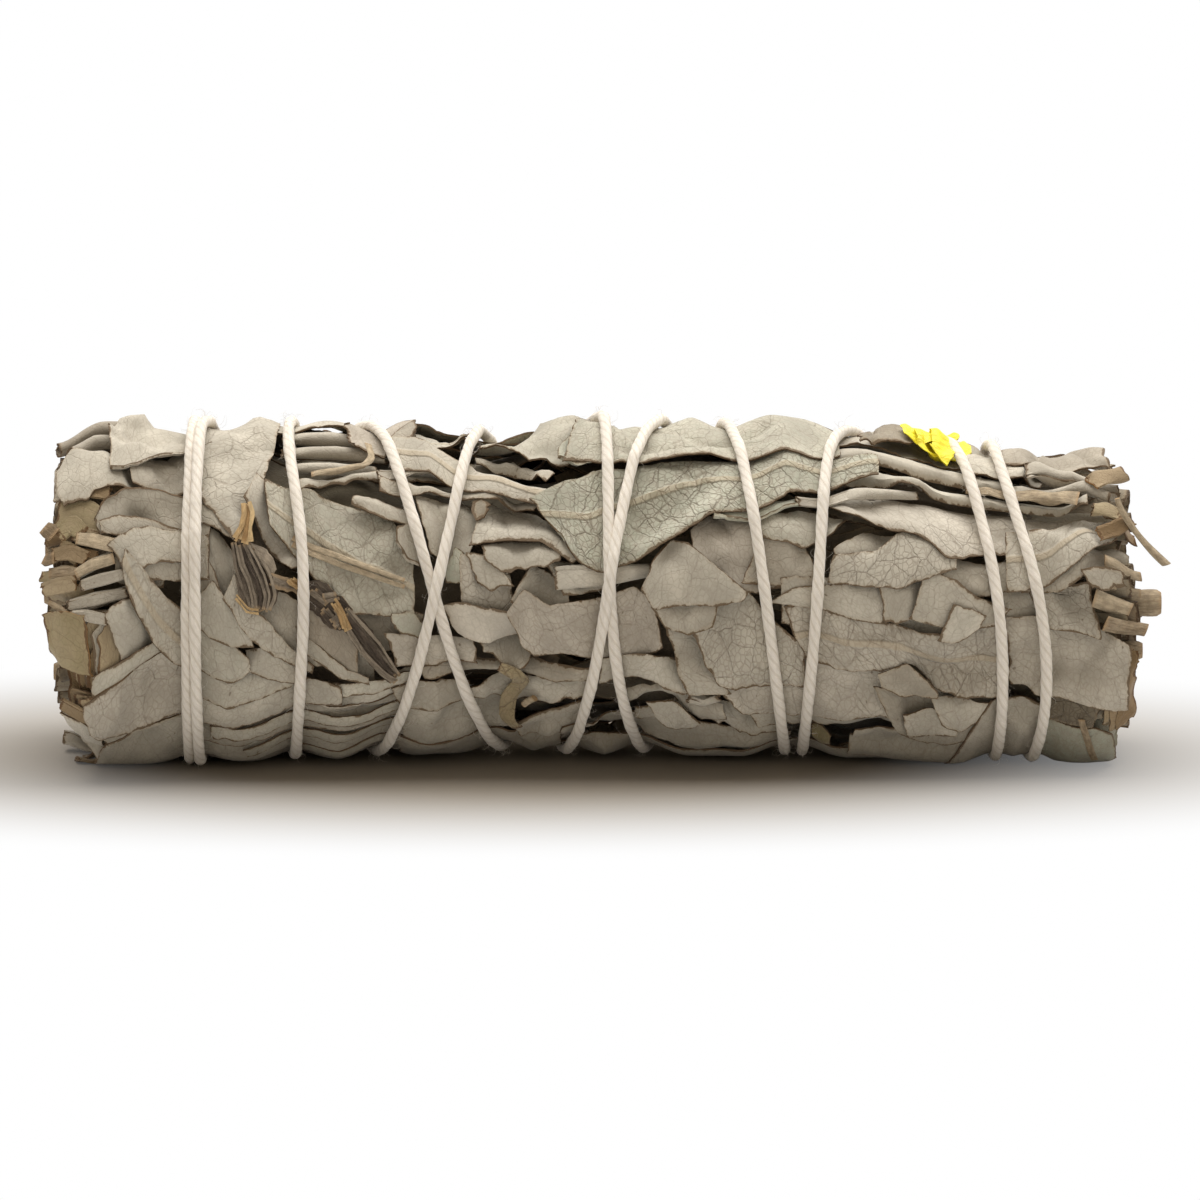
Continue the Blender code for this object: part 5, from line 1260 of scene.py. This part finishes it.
leaf("right_crumb", [(45.5, 60), (47.4, 58), (48.6, 54)], [(45.5, 50), (47.4, 47), (48.5, 48)], WORN,
     tone=0.15, wave=0.5, torn=(0.3, 0.3, 0.3, 0.35), rim=(1, 1, 0.5, 1.2))
rolled("right_stub_2", [(44.5, 52), (46, 51), (47, 50)], (0.8, 0.9, 0.8), finishes=WORN, tone=0.9, green=0.3,
       opening=-60.0)
rolled("right_stub_3", [(45, 40), (46.5, 43), (48, 49)], (0.8, 0.85, 0.6), finishes=RUSTY, tone=0.1,
       opening=0.0)
stalk("right_stub_4", [(45.5, 31), (47.5, 31), (49, 32)], (0.6, 0.7, 0.65), tone=0.85)
stalk("right_stub_5", [(45.5, 24), (47, 23), (49, 23)], (0.5, 0.6, 0.55), tone=0.7)
stalk("right_stub_6", [(44.5, 16), (46.5, 14), (48, 12)], (0.95, 1.05, 1.0), tone=0.8)
stalk("right_stub_7", [(45.5, 6), (47.5, 3), (49.5, 1)], (0.8, 0.95, 0.95), tone=0.4)
leaf("ragged_end", [(43.2, 26), (45.5, 27), (47.3, 26)], [(44.2, 19), (45.5, 19), (47.3, 20)], tone=0.4,
     torn=(0.3, 0.4, 0.3, 0.3), rim=(1.1, 1.2, 1.1, 1.1), wave=0.4, lift=0.4)
rolled("narrow_right", [(17.5, 41), (23, 46), (28.5, 53)], (0.55, 0.75, 0.5), tone=0.7, opening=-90.0)


# Long green-grey leaves along the upper front, the last that were laid, and the rolled ends and thin stalks
# that they leave at the right; felt worn thin over a net of veins, held by every turn of the string.
leaf("upper_right_fold", [(17, 64), (25, 66), (29.5, 62), (36, 61), (44, 59)], [(17, 55), (25, 55), (29, 54),
     (36, 53), (44, 52)], arch=0.9, crest=1.5, tone=0.6, green=0.2, stiffness=30, bends=(0, 0), wave=0.1,
     folds=(2, 0.35), vein=0.1)
leaf("top_lines", [(17, 77), (22.5, 78), (27, 77), (31.5, 73), (37, 71)], [(17, 66), (22.5, 68), (27, 66),
     (31.5, 64), (37, 63)], arch=0.9, crest=1.5, tone=0.58, stiffness=30, bends=(0, 0), wave=0.1,
     folds=(2, 0.35), vein=0.1)
leaf("top_back_right", [(16, 100), (26, 104), (38, 104)], [(16, 80), (26, 80), (38, 74)], tone=0.66,
     arch=0.5)
leaf("right_top_flat", [(33, 84), (36, 92), (40, 92)], [(33, 70), (36, 70), (40, 72)], tone=0.75, arch=0.3)
leaf("green_long", [(-6.7, 41), (-2.5, 50), (-0.5, 57), (3.5, 61), (11, 63), (17, 65), (21.5, 65), (25, 64)],
     [(-4.2, 29), (-2.5, 20), (-0.7, 16.5), (1.5, 18.5), (6, 28), (10, 37), (14, 40), (20.5, 51), (25, 56)],
     tone=0.5, green=0.6, vein=1.0, rib=0.42, ridge=0.4, arch=0.5, crest=1.6, stiffness=40,
     torn=(0.05, 0.2, 0.25, 0.1), rim=(0.8, 1.1, 1, 0.8), lift=(0.1, 0.9, 0.4, 0.1))
leaf("top_middle", [(-2.7, 78), (0.5, 96), (3.5, 104), (8.5, 106), (12.5, 106), (17, 106), (21.5, 100)],
     [(-3.7, 58), (-1, 61), (2, 63), (6, 61), (10, 64), (15, 63), (21.5, 68)], tone=0.55, green=0.4,
     vein=0.6, arch=0.6, stiffness=34, torn=(0.1, 0.15, 0.2, 0.1), rim=(1, 1.1, 1, 0.8),
     lift=(0, 1.0, 0.5, 0.1), wave=0.3)
leaf("top_right_end", [(36.3, 90), (38, 100), (42, 106), (46, 104)], [(36.3, 79), (39, 76), (42, 76),
     (46.3, 86)], tone=0.35, green=0.1, wave=0.7, torn=0.3, rim=1.1, lift=0.4)
rolled("right_tube_low", [(36.8, 62.5), (41, 61.5), (46.2, 61)], (0.55, 0.7, 0.65), tone=0.6)
rolled("right_tube", [(38.6, 70), (42.5, 70), (47, 72)], (1.25, 1.2, 1.1), tone=0.55, opening=150.0,
       turns=1.2)
rolled("orange_end", [(44.5, 61), (46, 67), (47.5, 73)], (0.9, 1.05, 1.0), finishes=RUSTY, tone=0.5,
       opening=-40.0)
lay = lay_stalk([(33, 60.5), (37.5, 59), (43.2, 54)], (0.5, 0.6, 0.75), tone=0.6, green=0.4)
make_piece("long_stalk", [lay], WOODY, "dry_stem")
lay = lay_stalk([(-21.7, 75), (-21.3, 66), (-21.9, 61), (-24, 58), (-26.8, 57)], 0.33, tone=0.7)
make_piece("curved_stalk", [lay], WOODY, "dry_stem")
leaf("top_brown", [(23.3, 80), (25.5, 100), (27.5, 104), (29, 100)], [(23.3, 76), (25.5, 79), (27.5, 82),
     (29, 84)], tone=0.0, wave=0.9, torn=(0.3, 0.3, 0.4, 0.4), rim=1.2, lift=0.5)


# Twig: a short broken twig with a frayed tan tip lies across the leaves at the left, its dark bark split into
# ribs; crumbs and a ribbed strip of the bark have come off towards the bottom and stick between the leaves.
BARK = stalk_finish("twig_bark", (0.27, 0.22, 0.16, 1.0), (0.06, 0.043, 0.03, 1.0), (0.36, 0.25, 0.14, 1.0))
BARK_RIM = torn_finish("bark_rim", (0.09, 0.06, 0.035, 1.0), (0.32, 0.22, 0.125, 1.0))
STRAW = stalk_finish("twig_wood", (0.60, 0.43, 0.22, 1.0), (0.34, 0.20, 0.08, 1.0), (0.55, 0.38, 0.19, 1.0),
                     streak=16.0)


def ribs(line, wide, count, size, **details):
    """Bark split lengthwise: `count` ribs side by side over the width that goes from end to end as `wide`."""
    rng = np.random.default_rng(next(seeds))
    path = np.array(line, dtype=float)
    across = np.gradient(path * (1.0, ARC), axis=0)
    across = np.stack((-across[:, 1], across[:, 0]), axis=-1) / np.linalg.norm(across, axis=1, keepdims=True)
    across = across / (1.0, ARC)
    reach = spread(wide, len(path))[:, None]
    parts = []
    for side in rng.permutation(np.linspace(-1.0, 1.0, count)):
        drift = rng.uniform(-0.12, 0.12, (len(path), 1))
        rib = path + across * reach * (side + drift)
        rib[0] += (path[0] - path[1]) * rng.uniform(-0.2, 0.25)
        rib[-1] += (path[-1] - path[-2]) * rng.uniform(-0.25, 0.2)
        parts.append(lay_stalk(rib, size * rng.uniform(0.7, 1.3, 4), size * rng.uniform(0.6, 1.1, 4), sides=8,
                               tone=rng.uniform(0.1, 0.9), step=0.3, sink=0.7, **details))
    return parts


def husk(upper, lower, **details):
    """A curved scale of bark, dark outside, with a thick tan torn rim."""
    return lay_leaf(upper, lower, thickness=0.28, step=0.22, vein=0.7, green=0.0, bends=(3, 0.14),
                    corners=0.2, **details)


def bark_piece(name, parts, node="bark_strip", finishes=(BARK, BARK_RIM)):
    """One object of bark, or of the wood under it."""
    make_piece(name, parts, finishes, "bark", node, crease=35.0)


twig = [(-33.0, 27), (-32.4, 21), (-31.6, 15), (-31.2, 9), (-31.3, 5)]
bark_piece("twig", [
    husk([(-32.2, 28), (-31.2, 24), (-30.2, 18), (-29.7, 12), (-29.9, 7), (-30.5, 5)],
         [(-33.9, 27), (-33.6, 19), (-33.1, 11), (-32.5, 6), (-31.6, 4.3)], arch=1.2, tone=0.35, wave=0.35,
         rim=(0.0, 0.45, 0.0, 1.1), torn=(0.1, 0.2, 0.2, 0.4), lift=(0.0, 0.3, 0.0, 0.4)),
    husk([(-31.9, 28), (-30.6, 25), (-29.9, 18)], [(-32.3, 25), (-31.2, 20), (-30.4, 15)], arch=0.5,
         tone=0.75, wave=0.3, rim=(0.4, 0.3, 0.4, 0.4), torn=(0.3, 0.1, 0.3, 0.3), lift=(0.4, 0, 0, 0.2)),
    husk([(-30.3, 17), (-28.8, 16), (-27.2, 12)], [(-30.3, 13), (-28.8, 11), (-27.4, 9)], arch=0.6, tone=0.6,
         wave=0.4, rim=(1.2, 1.2, 0.5, 1.2), torn=0.3, lift=0)]
    + ribs(twig, (0.7, 1.1, 1.4, 1.3, 0.9), 7, 0.13, rough=0.3), "bark_twig")
tip = [(-32.6, 41), (-32.4, 37), (-32.6, 32), (-33.0, 27)]
bark_piece("twig_tip", ribs(tip, (0.3, 0.35, 0.4, 0.8), 6, 0.2, rough=0.2)
           + ribs([(-33.3, 9), (-32.4, 5), (-31.2, 4.4)], (0.1, 0.14), 2, 0.1, rough=0.4),
           "bark_twig", (STRAW, RUST))
bark_piece("bark_crumbs", [
    husk([(-27.4, 14), (-25.5, 13.5), (-24.3, 9), (-22.9, 5)],
         [(-27.6, 9), (-26.6, 4), (-25.5, -1), (-23.6, -3)], arch=1.0, tone=0.2, wave=0.5,
         rim=(0.4, 0.4, 0.8, 0.8), torn=(0.35, 0.3, 0.3, 0.3), lift=(0.2, 0, 0.2, 0.2))]
    + sum([ribs([(x, angle), (x + long, angle + turn)], (0.3, 0.2), 3, 0.17, rough=0.4)
           for x, angle, long, turn in ((-26.6, 11, 1.3, -4), (-25.4, 8, 1.2, 1), (-25.4, 3.5, 1.2, -5),
                                        (-24.4, 6, 1.0, -6), (-24.6, 0, 0.9, 3))], []))
strip = [(-23.6, 3), (-22.4, -3), (-21.1, -10), (-19.9, -17), (-18.9, -22)]
bark_piece("loose_bark", [
    husk([(-23.5, 6), (-22.0, 1), (-20.4, -7), (-19.3, -16), (-18.5, -21)],
         [(-24.2, 0), (-23.0, -6), (-21.5, -15), (-20.4, -20), (-19.5, -24)], arch=0.8, tone=0.25, wave=0.3,
         folds=(4, 0.16), rim=(0.5, 0.3, 0.4, 1.0), torn=(0.35, 0.15, 0.2, 0.4), lift=(0.3, 0.1, 0, 0.3))]
    + ribs(strip, (0.5, 0.8, 0.9, 0.7, 0.4), 6, 0.13, rough=0.35))
bark_piece("bark_splinters", ribs([(-24.6, 7), (-23.9, 3), (-23.4, -2)], (0.2, 0.25), 4, 0.12, rough=0.4)
           + ribs([(-28.6, 15), (-27.6, 12.5)], (0.2, 0.25), 3, 0.13, rough=0.4), finishes=(STRAW, RUST))


# Yellow petals: a pinch of thin dried flower petals, crumpled together on top at a turn of the string. They
# aren't held down by it, and stand up a little over the leaves.
def petal_finish():
    """Thin petal: clear yellow, with painted shade in darker yellow where its streaks sink, slightly glossy.
    """
    material, tree, shader = new_finish("petal", 0.45)
    streaks = noise(tree, read_uv(tree, 2.0, 14.0, 1.0), 2.2)
    # Painted shade: the darker yellow follows the low parts of the streaks, which also sink the bump.
    colour = mix(tree, ramp(tree, streaks, 0.3, 0.7), (0.62, 0.50, 0.01, 1.0), (0.90, 0.80, 0.05, 1.0))
    paint(tree, shader, colour)
    add_bump(tree, shader, streaks, 0.7, 0.0003)
    return material


PETAL = petal_finish()
make_piece("petals", [
    lay_leaf(upper, lower, wave=0.35, torn=(0.1, 0.1, 0.25, 0.25), step=0.17, thickness=0.08, arch=arch,
             crest=1.3, lift=lift, rim=0, sink=0.9, bends=(3, 0.3), corners=0.3, stiffness=30, free=True)
    for arch, lift, upper, lower in (
        (0.3, (0.2, 0.3, 0.1, 0.1), [(28.4, 98), (30, 103), (31.6, 101)],
         [(28.8, 80), (30.2, 75), (31.4, 80)]),
        (0.5, (0, 0.2, 0, 0.3), [(31, 101), (32.6, 104), (33.8, 99)], [(31, 87), (32.6, 85), (33.8, 90)]),
        (0.5, (0, 0.2, 0.4, 0), [(27.2, 91), (28.4, 97), (30.4, 99)], [(27.4, 84), (28.6, 82), (30.4, 84)]),
        (0.6, (0.3, 0.5, 0.2, 0.2), [(29.8, 98), (31.2, 102), (32.6, 99)], [(30, 77), (31, 72), (32.2, 78)]),
        (0.9, (0.3, 0.2, 0.2, 0.2), [(29.4, 95), (31, 98), (32.4, 95)],
         [(29.4, 88), (30.8, 84), (32.4, 87)]))],
    (PETAL, PETAL), "petal", "yellow_petals")


# Stray stem: one thin woody stalk, oval and a little uneven, that has slipped out of the right end and hangs
# down in front of it in a shallow bow.
def stray_stem(rows=24, sides=10):
    """Height and place along the box follow 0.6 t + 0.4 t^0.6 and 0.75 t + 0.25 t^2 with the share t gone by;
    it starts a little further in and higher than the frame's stem, where the leaves hide it."""
    low, high = (np.array(corner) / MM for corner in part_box("stray_stem"))
    t = np.linspace(0.0, 1.0, rows)[:, None]
    turn = (np.arange(sides) / sides * 2.0 * np.pi)[None, :]
    x = low[0] - 1.2 + (high[0] - low[0] + 1.1) * (0.75 * t + 0.25 * t ** 2)
    z = high[2] + 2.1 - (high[2] - low[2] + 0.8) * (0.6 * t + 0.4 * t ** 0.6)
    size = 0.24 + 0.16 * t + 0.03 * np.sin(9.0 * t)
    y = (low[1] + high[1]) / 2.0 + size * np.sin(turn)
    points = np.stack((x + size * np.cos(turn), y, z + 0.3 * size * np.cos(turn)), axis=-1)
    uv = np.stack((t * 0.8 + 0.0 * turn, turn * 0.04 + 0.0 * t), axis=-1)
    return round_body(points * MM, uv, looks((rows, sides), 0.75, 0.0, 0.0, 1.0))


make_piece("stray_stalk", [stray_stem()], WOODY, "dry_stem", "stray_stem")


# Binding string: one length of soft four-ply cotton, pulled tight, from the knot behind to the right end and
# back. Each turn lies on the leaves and over the turns before it.
PLIES = 4
PLY_TWIST = 5.0
RING_STEP = 0.27
RING_POINTS = 20
POINT_TURN = 6.0
TAUT = np.cos(np.radians(POINT_TURN))
NESTED = 0.85


def string_line():
    """Centre of the string: height of the relief under it plus its radius, raised over crossed turns and
    pulled straight over hollows. Returned as points in metres."""
    wound, along = np.array(STRING_ROUTE, dtype=float).T
    count = int((wound[-1] - wound[0]) / POINT_TURN)
    turned = np.linspace(wound[0], wound[-1], count)
    x = np.interp(turned, wound, along)
    for _ in range(30):
        x[1:-1] = (x[:-2] + 2.0 * x[1:-1] + x[2:]) / 4.0
    angle = (90.0 - turned + 180.0) % 360.0 - 180.0
    ground = held(x, angle, read_grid(relief, x, angle))
    for beside in (x - RELIEF_STEP, x + RELIEF_STEP):
        ground = np.maximum(ground, held(beside, angle, read_grid(relief, beside, angle)))
    seat = ground + NESTED * STRING_RADIUS
    height = seat.copy()
    for _ in range(60):
        height[1:-1] = np.maximum(seat[1:-1], (height[:-2] + height[2:]) / 2.0 * TAUT)
    for point in range(count):
        other = np.arange(0, max(point - 40, 0))
        round_apart = np.radians((turned[other] - turned[point] + 180.0) % 360.0 - 180.0) * height[point]
        apart = np.hypot(x[other] - x[point], round_apart)
        crossed = apart < 2.0 * STRING_RADIUS
        if np.any(crossed):
            rise = NESTED * np.sqrt((2.0 * STRING_RADIUS) ** 2 - apart[crossed] ** 2)
            height[point] = max(height[point], np.max(height[other][crossed] + rise))
    for _ in range(12):
        height[1:-1] = np.maximum(height[1:-1], (height[:-2] + height[2:]) / 2.0 * TAUT)
    return place(x, angle, height, clear=STRING_RADIUS * 0.9, free=True)


def even_line(points, step):
    """The same line with points `step` metres apart, and how far along it each one is."""
    travelled = np.concatenate(([0.0], np.cumsum(np.linalg.norm(np.diff(points, axis=0), axis=1))))
    pick = np.linspace(0.0, travelled[-1], int(travelled[-1] / step) + 1)
    return np.stack([np.interp(pick, travelled, points[:, k]) for k in range(3)], axis=-1), pick


def frames(line):
    """Direction of a line at each point and two directions across it: one level with the bundle's ends, or
    with the floor where the line runs along X, and one square to it."""
    tangent = np.gradient(line, axis=0)
    tangent /= np.linalg.norm(tangent, axis=1, keepdims=True)
    side = np.cross(tangent, (1.0, 0.0, 0.0))
    weak = np.linalg.norm(side, axis=1) < 0.3
    side[weak] = np.cross(tangent[weak], (0.0, 0.0, 1.0))
    side /= np.linalg.norm(side, axis=1, keepdims=True)
    return tangent, side, np.cross(side, tangent)


def ply_tube(line, radius):
    """Plies twisted together: round the line, radius * (0.93 + 0.07 * |cos(PLIES * a / 2)| ** 0.7) at the
    angle a, which turns once in PLY_TWIST millimetres. The ends close in a point."""
    centre, travelled = even_line(line, RING_STEP * MM)
    _, side, over = frames(centre)
    turn = np.arange(RING_POINTS) / RING_POINTS * 2.0 * np.pi
    phase = 2.0 * np.pi * travelled[:, None] / (PLY_TWIST * MM)
    lobes = np.abs(np.cos(0.5 * PLIES * (turn[None, :] - phase)))
    size = radius * (0.93 + 0.07 * lobes ** 0.7) * MM
    size = size * (1.0 + 0.035 * np.sin(travelled * 700.0) + 0.03 * np.sin(travelled * 1930.0 + 1.0))[:, None]
    end = np.minimum(travelled, travelled[-1] - travelled) / (radius * MM)
    size *= np.sqrt(np.clip(end, 0.0004, 1.0))[:, None]
    points = centre[:, None] + size[..., None] * (
        np.cos(turn)[None, :, None] * side[:, None] + np.sin(turn)[None, :, None] * over[:, None])
    faces = walls(np.arange(lobes.size).reshape(lobes.shape))
    # The tone carries the lobes of the plies; from it the cotton finish paints shade between the plies.
    look = looks(lobes.shape, lobes, 0.0, 0.0, 1.0)
    fibre = (turn[None, :] - phase) / (2.0 * np.pi) * 0.45
    uv = np.stack((travelled[:, None] * 100.0 + 0.0 * fibre, fibre), axis=-1)
    return as_part(points, faces, uv, look)


def cotton_finish():
    """Undyed cotton: cream, with painted shade between the plies, and fine fibres along each ply."""
    material, tree, shader = new_finish("cotton", 0.9, sheen=0.25)
    fibre = noise(tree, read_uv(tree, 14.0, 90.0, 1.0), 1.0)
    # Painted shade: the cream goes darker towards the grooves between the plies, as the tone says.
    lobe = ramp(tree, read_look(tree)[0], 0.05, 0.75)
    colour = mix(tree, lobe, (0.64, 0.57, 0.47, 1.0), (0.76, 0.70, 0.61, 1.0))
    paint(tree, shader, shade(tree, colour, fibre, 0.86, 1.08))
    add_bump(tree, shader, fibre, 0.5, 0.00012)
    return material


COTTON = cotton_finish()
string_points = string_line()
make_piece("cotton_string", [ply_tube(string_points, STRING_RADIUS)], (COTTON,), "cotton", "binding_string",
           crease=80.0)


def string_fuzz(line, count, stations=5):
    """Loose fibres of the cotton: thin three-sided hairs, 0.4 to 1.5 mm long, that stand off and curl."""
    rng = np.random.default_rng(5)
    centre, travelled = even_line(line, 0.4 * MM)
    tangent, side, over = frames(centre)
    root = rng.integers(2, len(centre) - 2, count)
    turn = rng.uniform(0.0, 2.0 * np.pi, count)
    out = np.cos(turn)[:, None] * side[root] + np.sin(turn)[:, None] * over[root]
    swing = np.cross(tangent[root], out)
    long = rng.uniform(0.4, 1.5, count)[:, None] * MM
    t = np.linspace(0.0, 1.0, stations)
    sway = rng.uniform(-1.0, 1.0, (count, 3))
    path = (centre[root] + out * STRING_RADIUS * 0.8 * MM)[:, None] + (
        out[:, None] * (0.55 * np.sin(t * 2.2))[None, :, None] * long[:, None]
        + tangent[root][:, None] * (sway[:, 0:1] * t)[:, :, None] * long[:, None]
        + swing[:, None] * (sway[:, 1:2] * t ** 2)[:, :, None] * long[:, None])
    thin = 0.012 * MM * (1.0 - 0.6 * t)[None, :, None, None]
    corner = np.stack((out, -0.5 * out + 0.87 * swing, -0.5 * out - 0.87 * swing), axis=1)
    points = path[:, :, None] + corner[:, None] * thin
    points[..., 2] = np.maximum(points[..., 2], 0.02 * MM)
    index = np.arange(points.size // 3).reshape(count, stations, 3)
    return as_part(points, walls(index), np.zeros((index.size, 2)), looks(index.size, 0.9, 0.0, 0.0, 1.0))


FIBRES = 2600
make_piece("string_fibres", [string_fuzz(string_points, FIBRES)], (COTTON,), "cotton")


# Knot behind: the two ends of the cotton string pulled together in an overhand knot, with two short tails
# that hang down over the leaves.
def knot_line(centre, size):
    """An overhand knot: the path (sin t + 2 sin 2t, cos t - 2 cos 2t, -sin 3t), flattened, in metres."""
    t = np.linspace(0.25, 2.0 * np.pi - 0.25, 60)
    path = np.stack((np.sin(t) + 2.0 * np.sin(2.0 * t), -0.9 * np.sin(3.0 * t),
                     np.cos(t) - 2.0 * np.cos(2.0 * t)), axis=-1)
    return centre + path * size


KNOT_RADIUS = 0.46
TAIL_RADIUS = 0.44
knot_low, knot_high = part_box("string_knot")
knot_centre = np.array((knot_low + knot_high)) / 2.0
knot_size = (knot_high.z - knot_low.z) / 2.0 * 0.34
tied = [ply_tube(knot_line(knot_centre, knot_size), KNOT_RADIUS)]
for out in (-0.0016, 0.0022):
    tail = np.array(((0.0, 0.0, 0.0), (0.3 * out, 0.0012, -0.0015), (out, 0.0014, -0.004 - 0.1 * out),
                     (1.6 * out, 0.0009, -0.007)))
    tied.append(ply_tube(even_line(knot_centre + tail, 0.4 * MM)[0], TAIL_RADIUS))
make_piece("string_knot_tied", tied, (COTTON,), "cotton", "string_knot", crease=80.0)


# Camera, light and ground: a level view from a little above, a large soft light over the front, white
# surroundings, and a floor with a dark, warm shadow painted round the bundle that turns white further off.
def stage():
    """Camera at 10 degrees above the horizon, softbox, fill from all round, floor that takes the shadow and a
    painted one.
    """
    distance = 0.9
    floor_size = 3.0
    scene = bpy.context.scene
    scene.view_settings.view_transform = "Standard"
    lens = bpy.data.cameras.new("camera")
    lens.lens = 292.5
    lens.sensor_width = 36.0
    camera = bpy.data.objects.new("camera", lens)
    lift = np.radians(10.0)
    aim = np.array((-0.00045, 0.0, 0.01435))
    camera.location = aim + distance * np.array((0.0, -np.cos(lift), np.sin(lift)))
    camera.rotation_euler = (np.pi / 2.0 - lift, 0.0, 0.0)
    scene.collection.objects.link(camera)
    scene.camera = camera
    lamp = bpy.data.lights.new("softbox", "AREA")
    lamp.shape = "RECTANGLE"
    lamp.size = 0.9
    lamp.size_y = 0.6
    lamp.energy = 8.2
    box = bpy.data.objects.new("softbox", lamp)
    box.location = (0.05, 0.15, 0.6)
    box.rotation_euler = (-np.arctan2(0.15, 0.6), 0.0, 0.0)
    scene.collection.objects.link(box)
    world = bpy.data.worlds.new("surroundings")
    scene.world = world
    world.use_nodes = True
    tree = world.node_tree
    light = tree.nodes["Background"]
    light.inputs["Color"].default_value = (1.0, 0.905, 0.79, 1.0)
    light.inputs["Strength"].default_value = 0.5
    white = add_node(tree, "Background", (("Color", grey(1.0)), ("Strength", 1.0)))
    rays = add_node(tree, "LightPath")
    seen = sums(tree, "MAXIMUM", rays.outputs["Is Camera Ray"],
                sums(tree, "MAXIMUM", rays.outputs["Is Glossy Ray"], rays.outputs["Is Transmission Ray"]))
    both = add_node(tree, "MixShader", ((0, seen), (1, light.outputs[0]), (2, white.outputs[0])))
    tree.links.new(both.outputs[0], tree.nodes["World Output"].inputs["Surface"])
    ground = bpy.data.meshes.new("floor")
    corners = [(x * floor_size, y * floor_size, 0) for x, y in ((-1, -1), (1, -1), (1, 1), (-1, 1))]
    ground.from_pydata(corners, [], [(0, 1, 2, 3)])
    paper = bpy.data.materials.new("floor")
    paper.use_nodes = True
    tree = paper.node_tree
    shader = tree.nodes["Principled BSDF"]
    shader.inputs["Roughness"].default_value = 1.0
    shader.inputs["Specular IOR Level"].default_value = 0.0
    rays = add_node(tree, "LightPath")
    seen = sums(tree, "MAXIMUM", rays.outputs["Is Camera Ray"], rays.outputs["Is Transmission Ray"])
    # Painted shadow: to the camera the floor is dark warm brown, to other light pale grey; lit, it shows the
    # real shadow darker and warmer.
    paint(tree, shader, mix(tree, seen, grey(0.66), (0.25, 0.22, 0.18, 1.0)))
    # Further off the camera sees white glow instead: the painted shadow fades out from 16 to 50 mm from the
    # middle, twice that along X, centred 8 mm to the left.
    where = add_node(tree, "TexCoord").outputs["Object"]
    apart = add_node(tree, "VectorMath", ((0, where), (1, (0.5, 1.0, 1.0)), (2, (0.004, 0.0, 0.0))),
                     operation="MULTIPLY_ADD").outputs[0]
    reach = add_node(tree, "VectorMath", ((0, apart),), operation="LENGTH").outputs["Value"]
    glow = add_node(tree, "Emission", (("Color", grey(1.0)), ("Strength", 1.0)))
    share = times(tree, seen, ramp(tree, reach, 0.016, 0.05))
    both = add_node(tree, "MixShader", ((0, share), (1, shader.outputs[0]), (2, glow.outputs[0])))
    tree.links.new(both.outputs[0], tree.nodes["Material Output"].inputs["Surface"])
    ground.materials.append(paper)
    floor = bpy.data.objects.new("floor", ground)
    scene.collection.objects.link(floor)


stage()
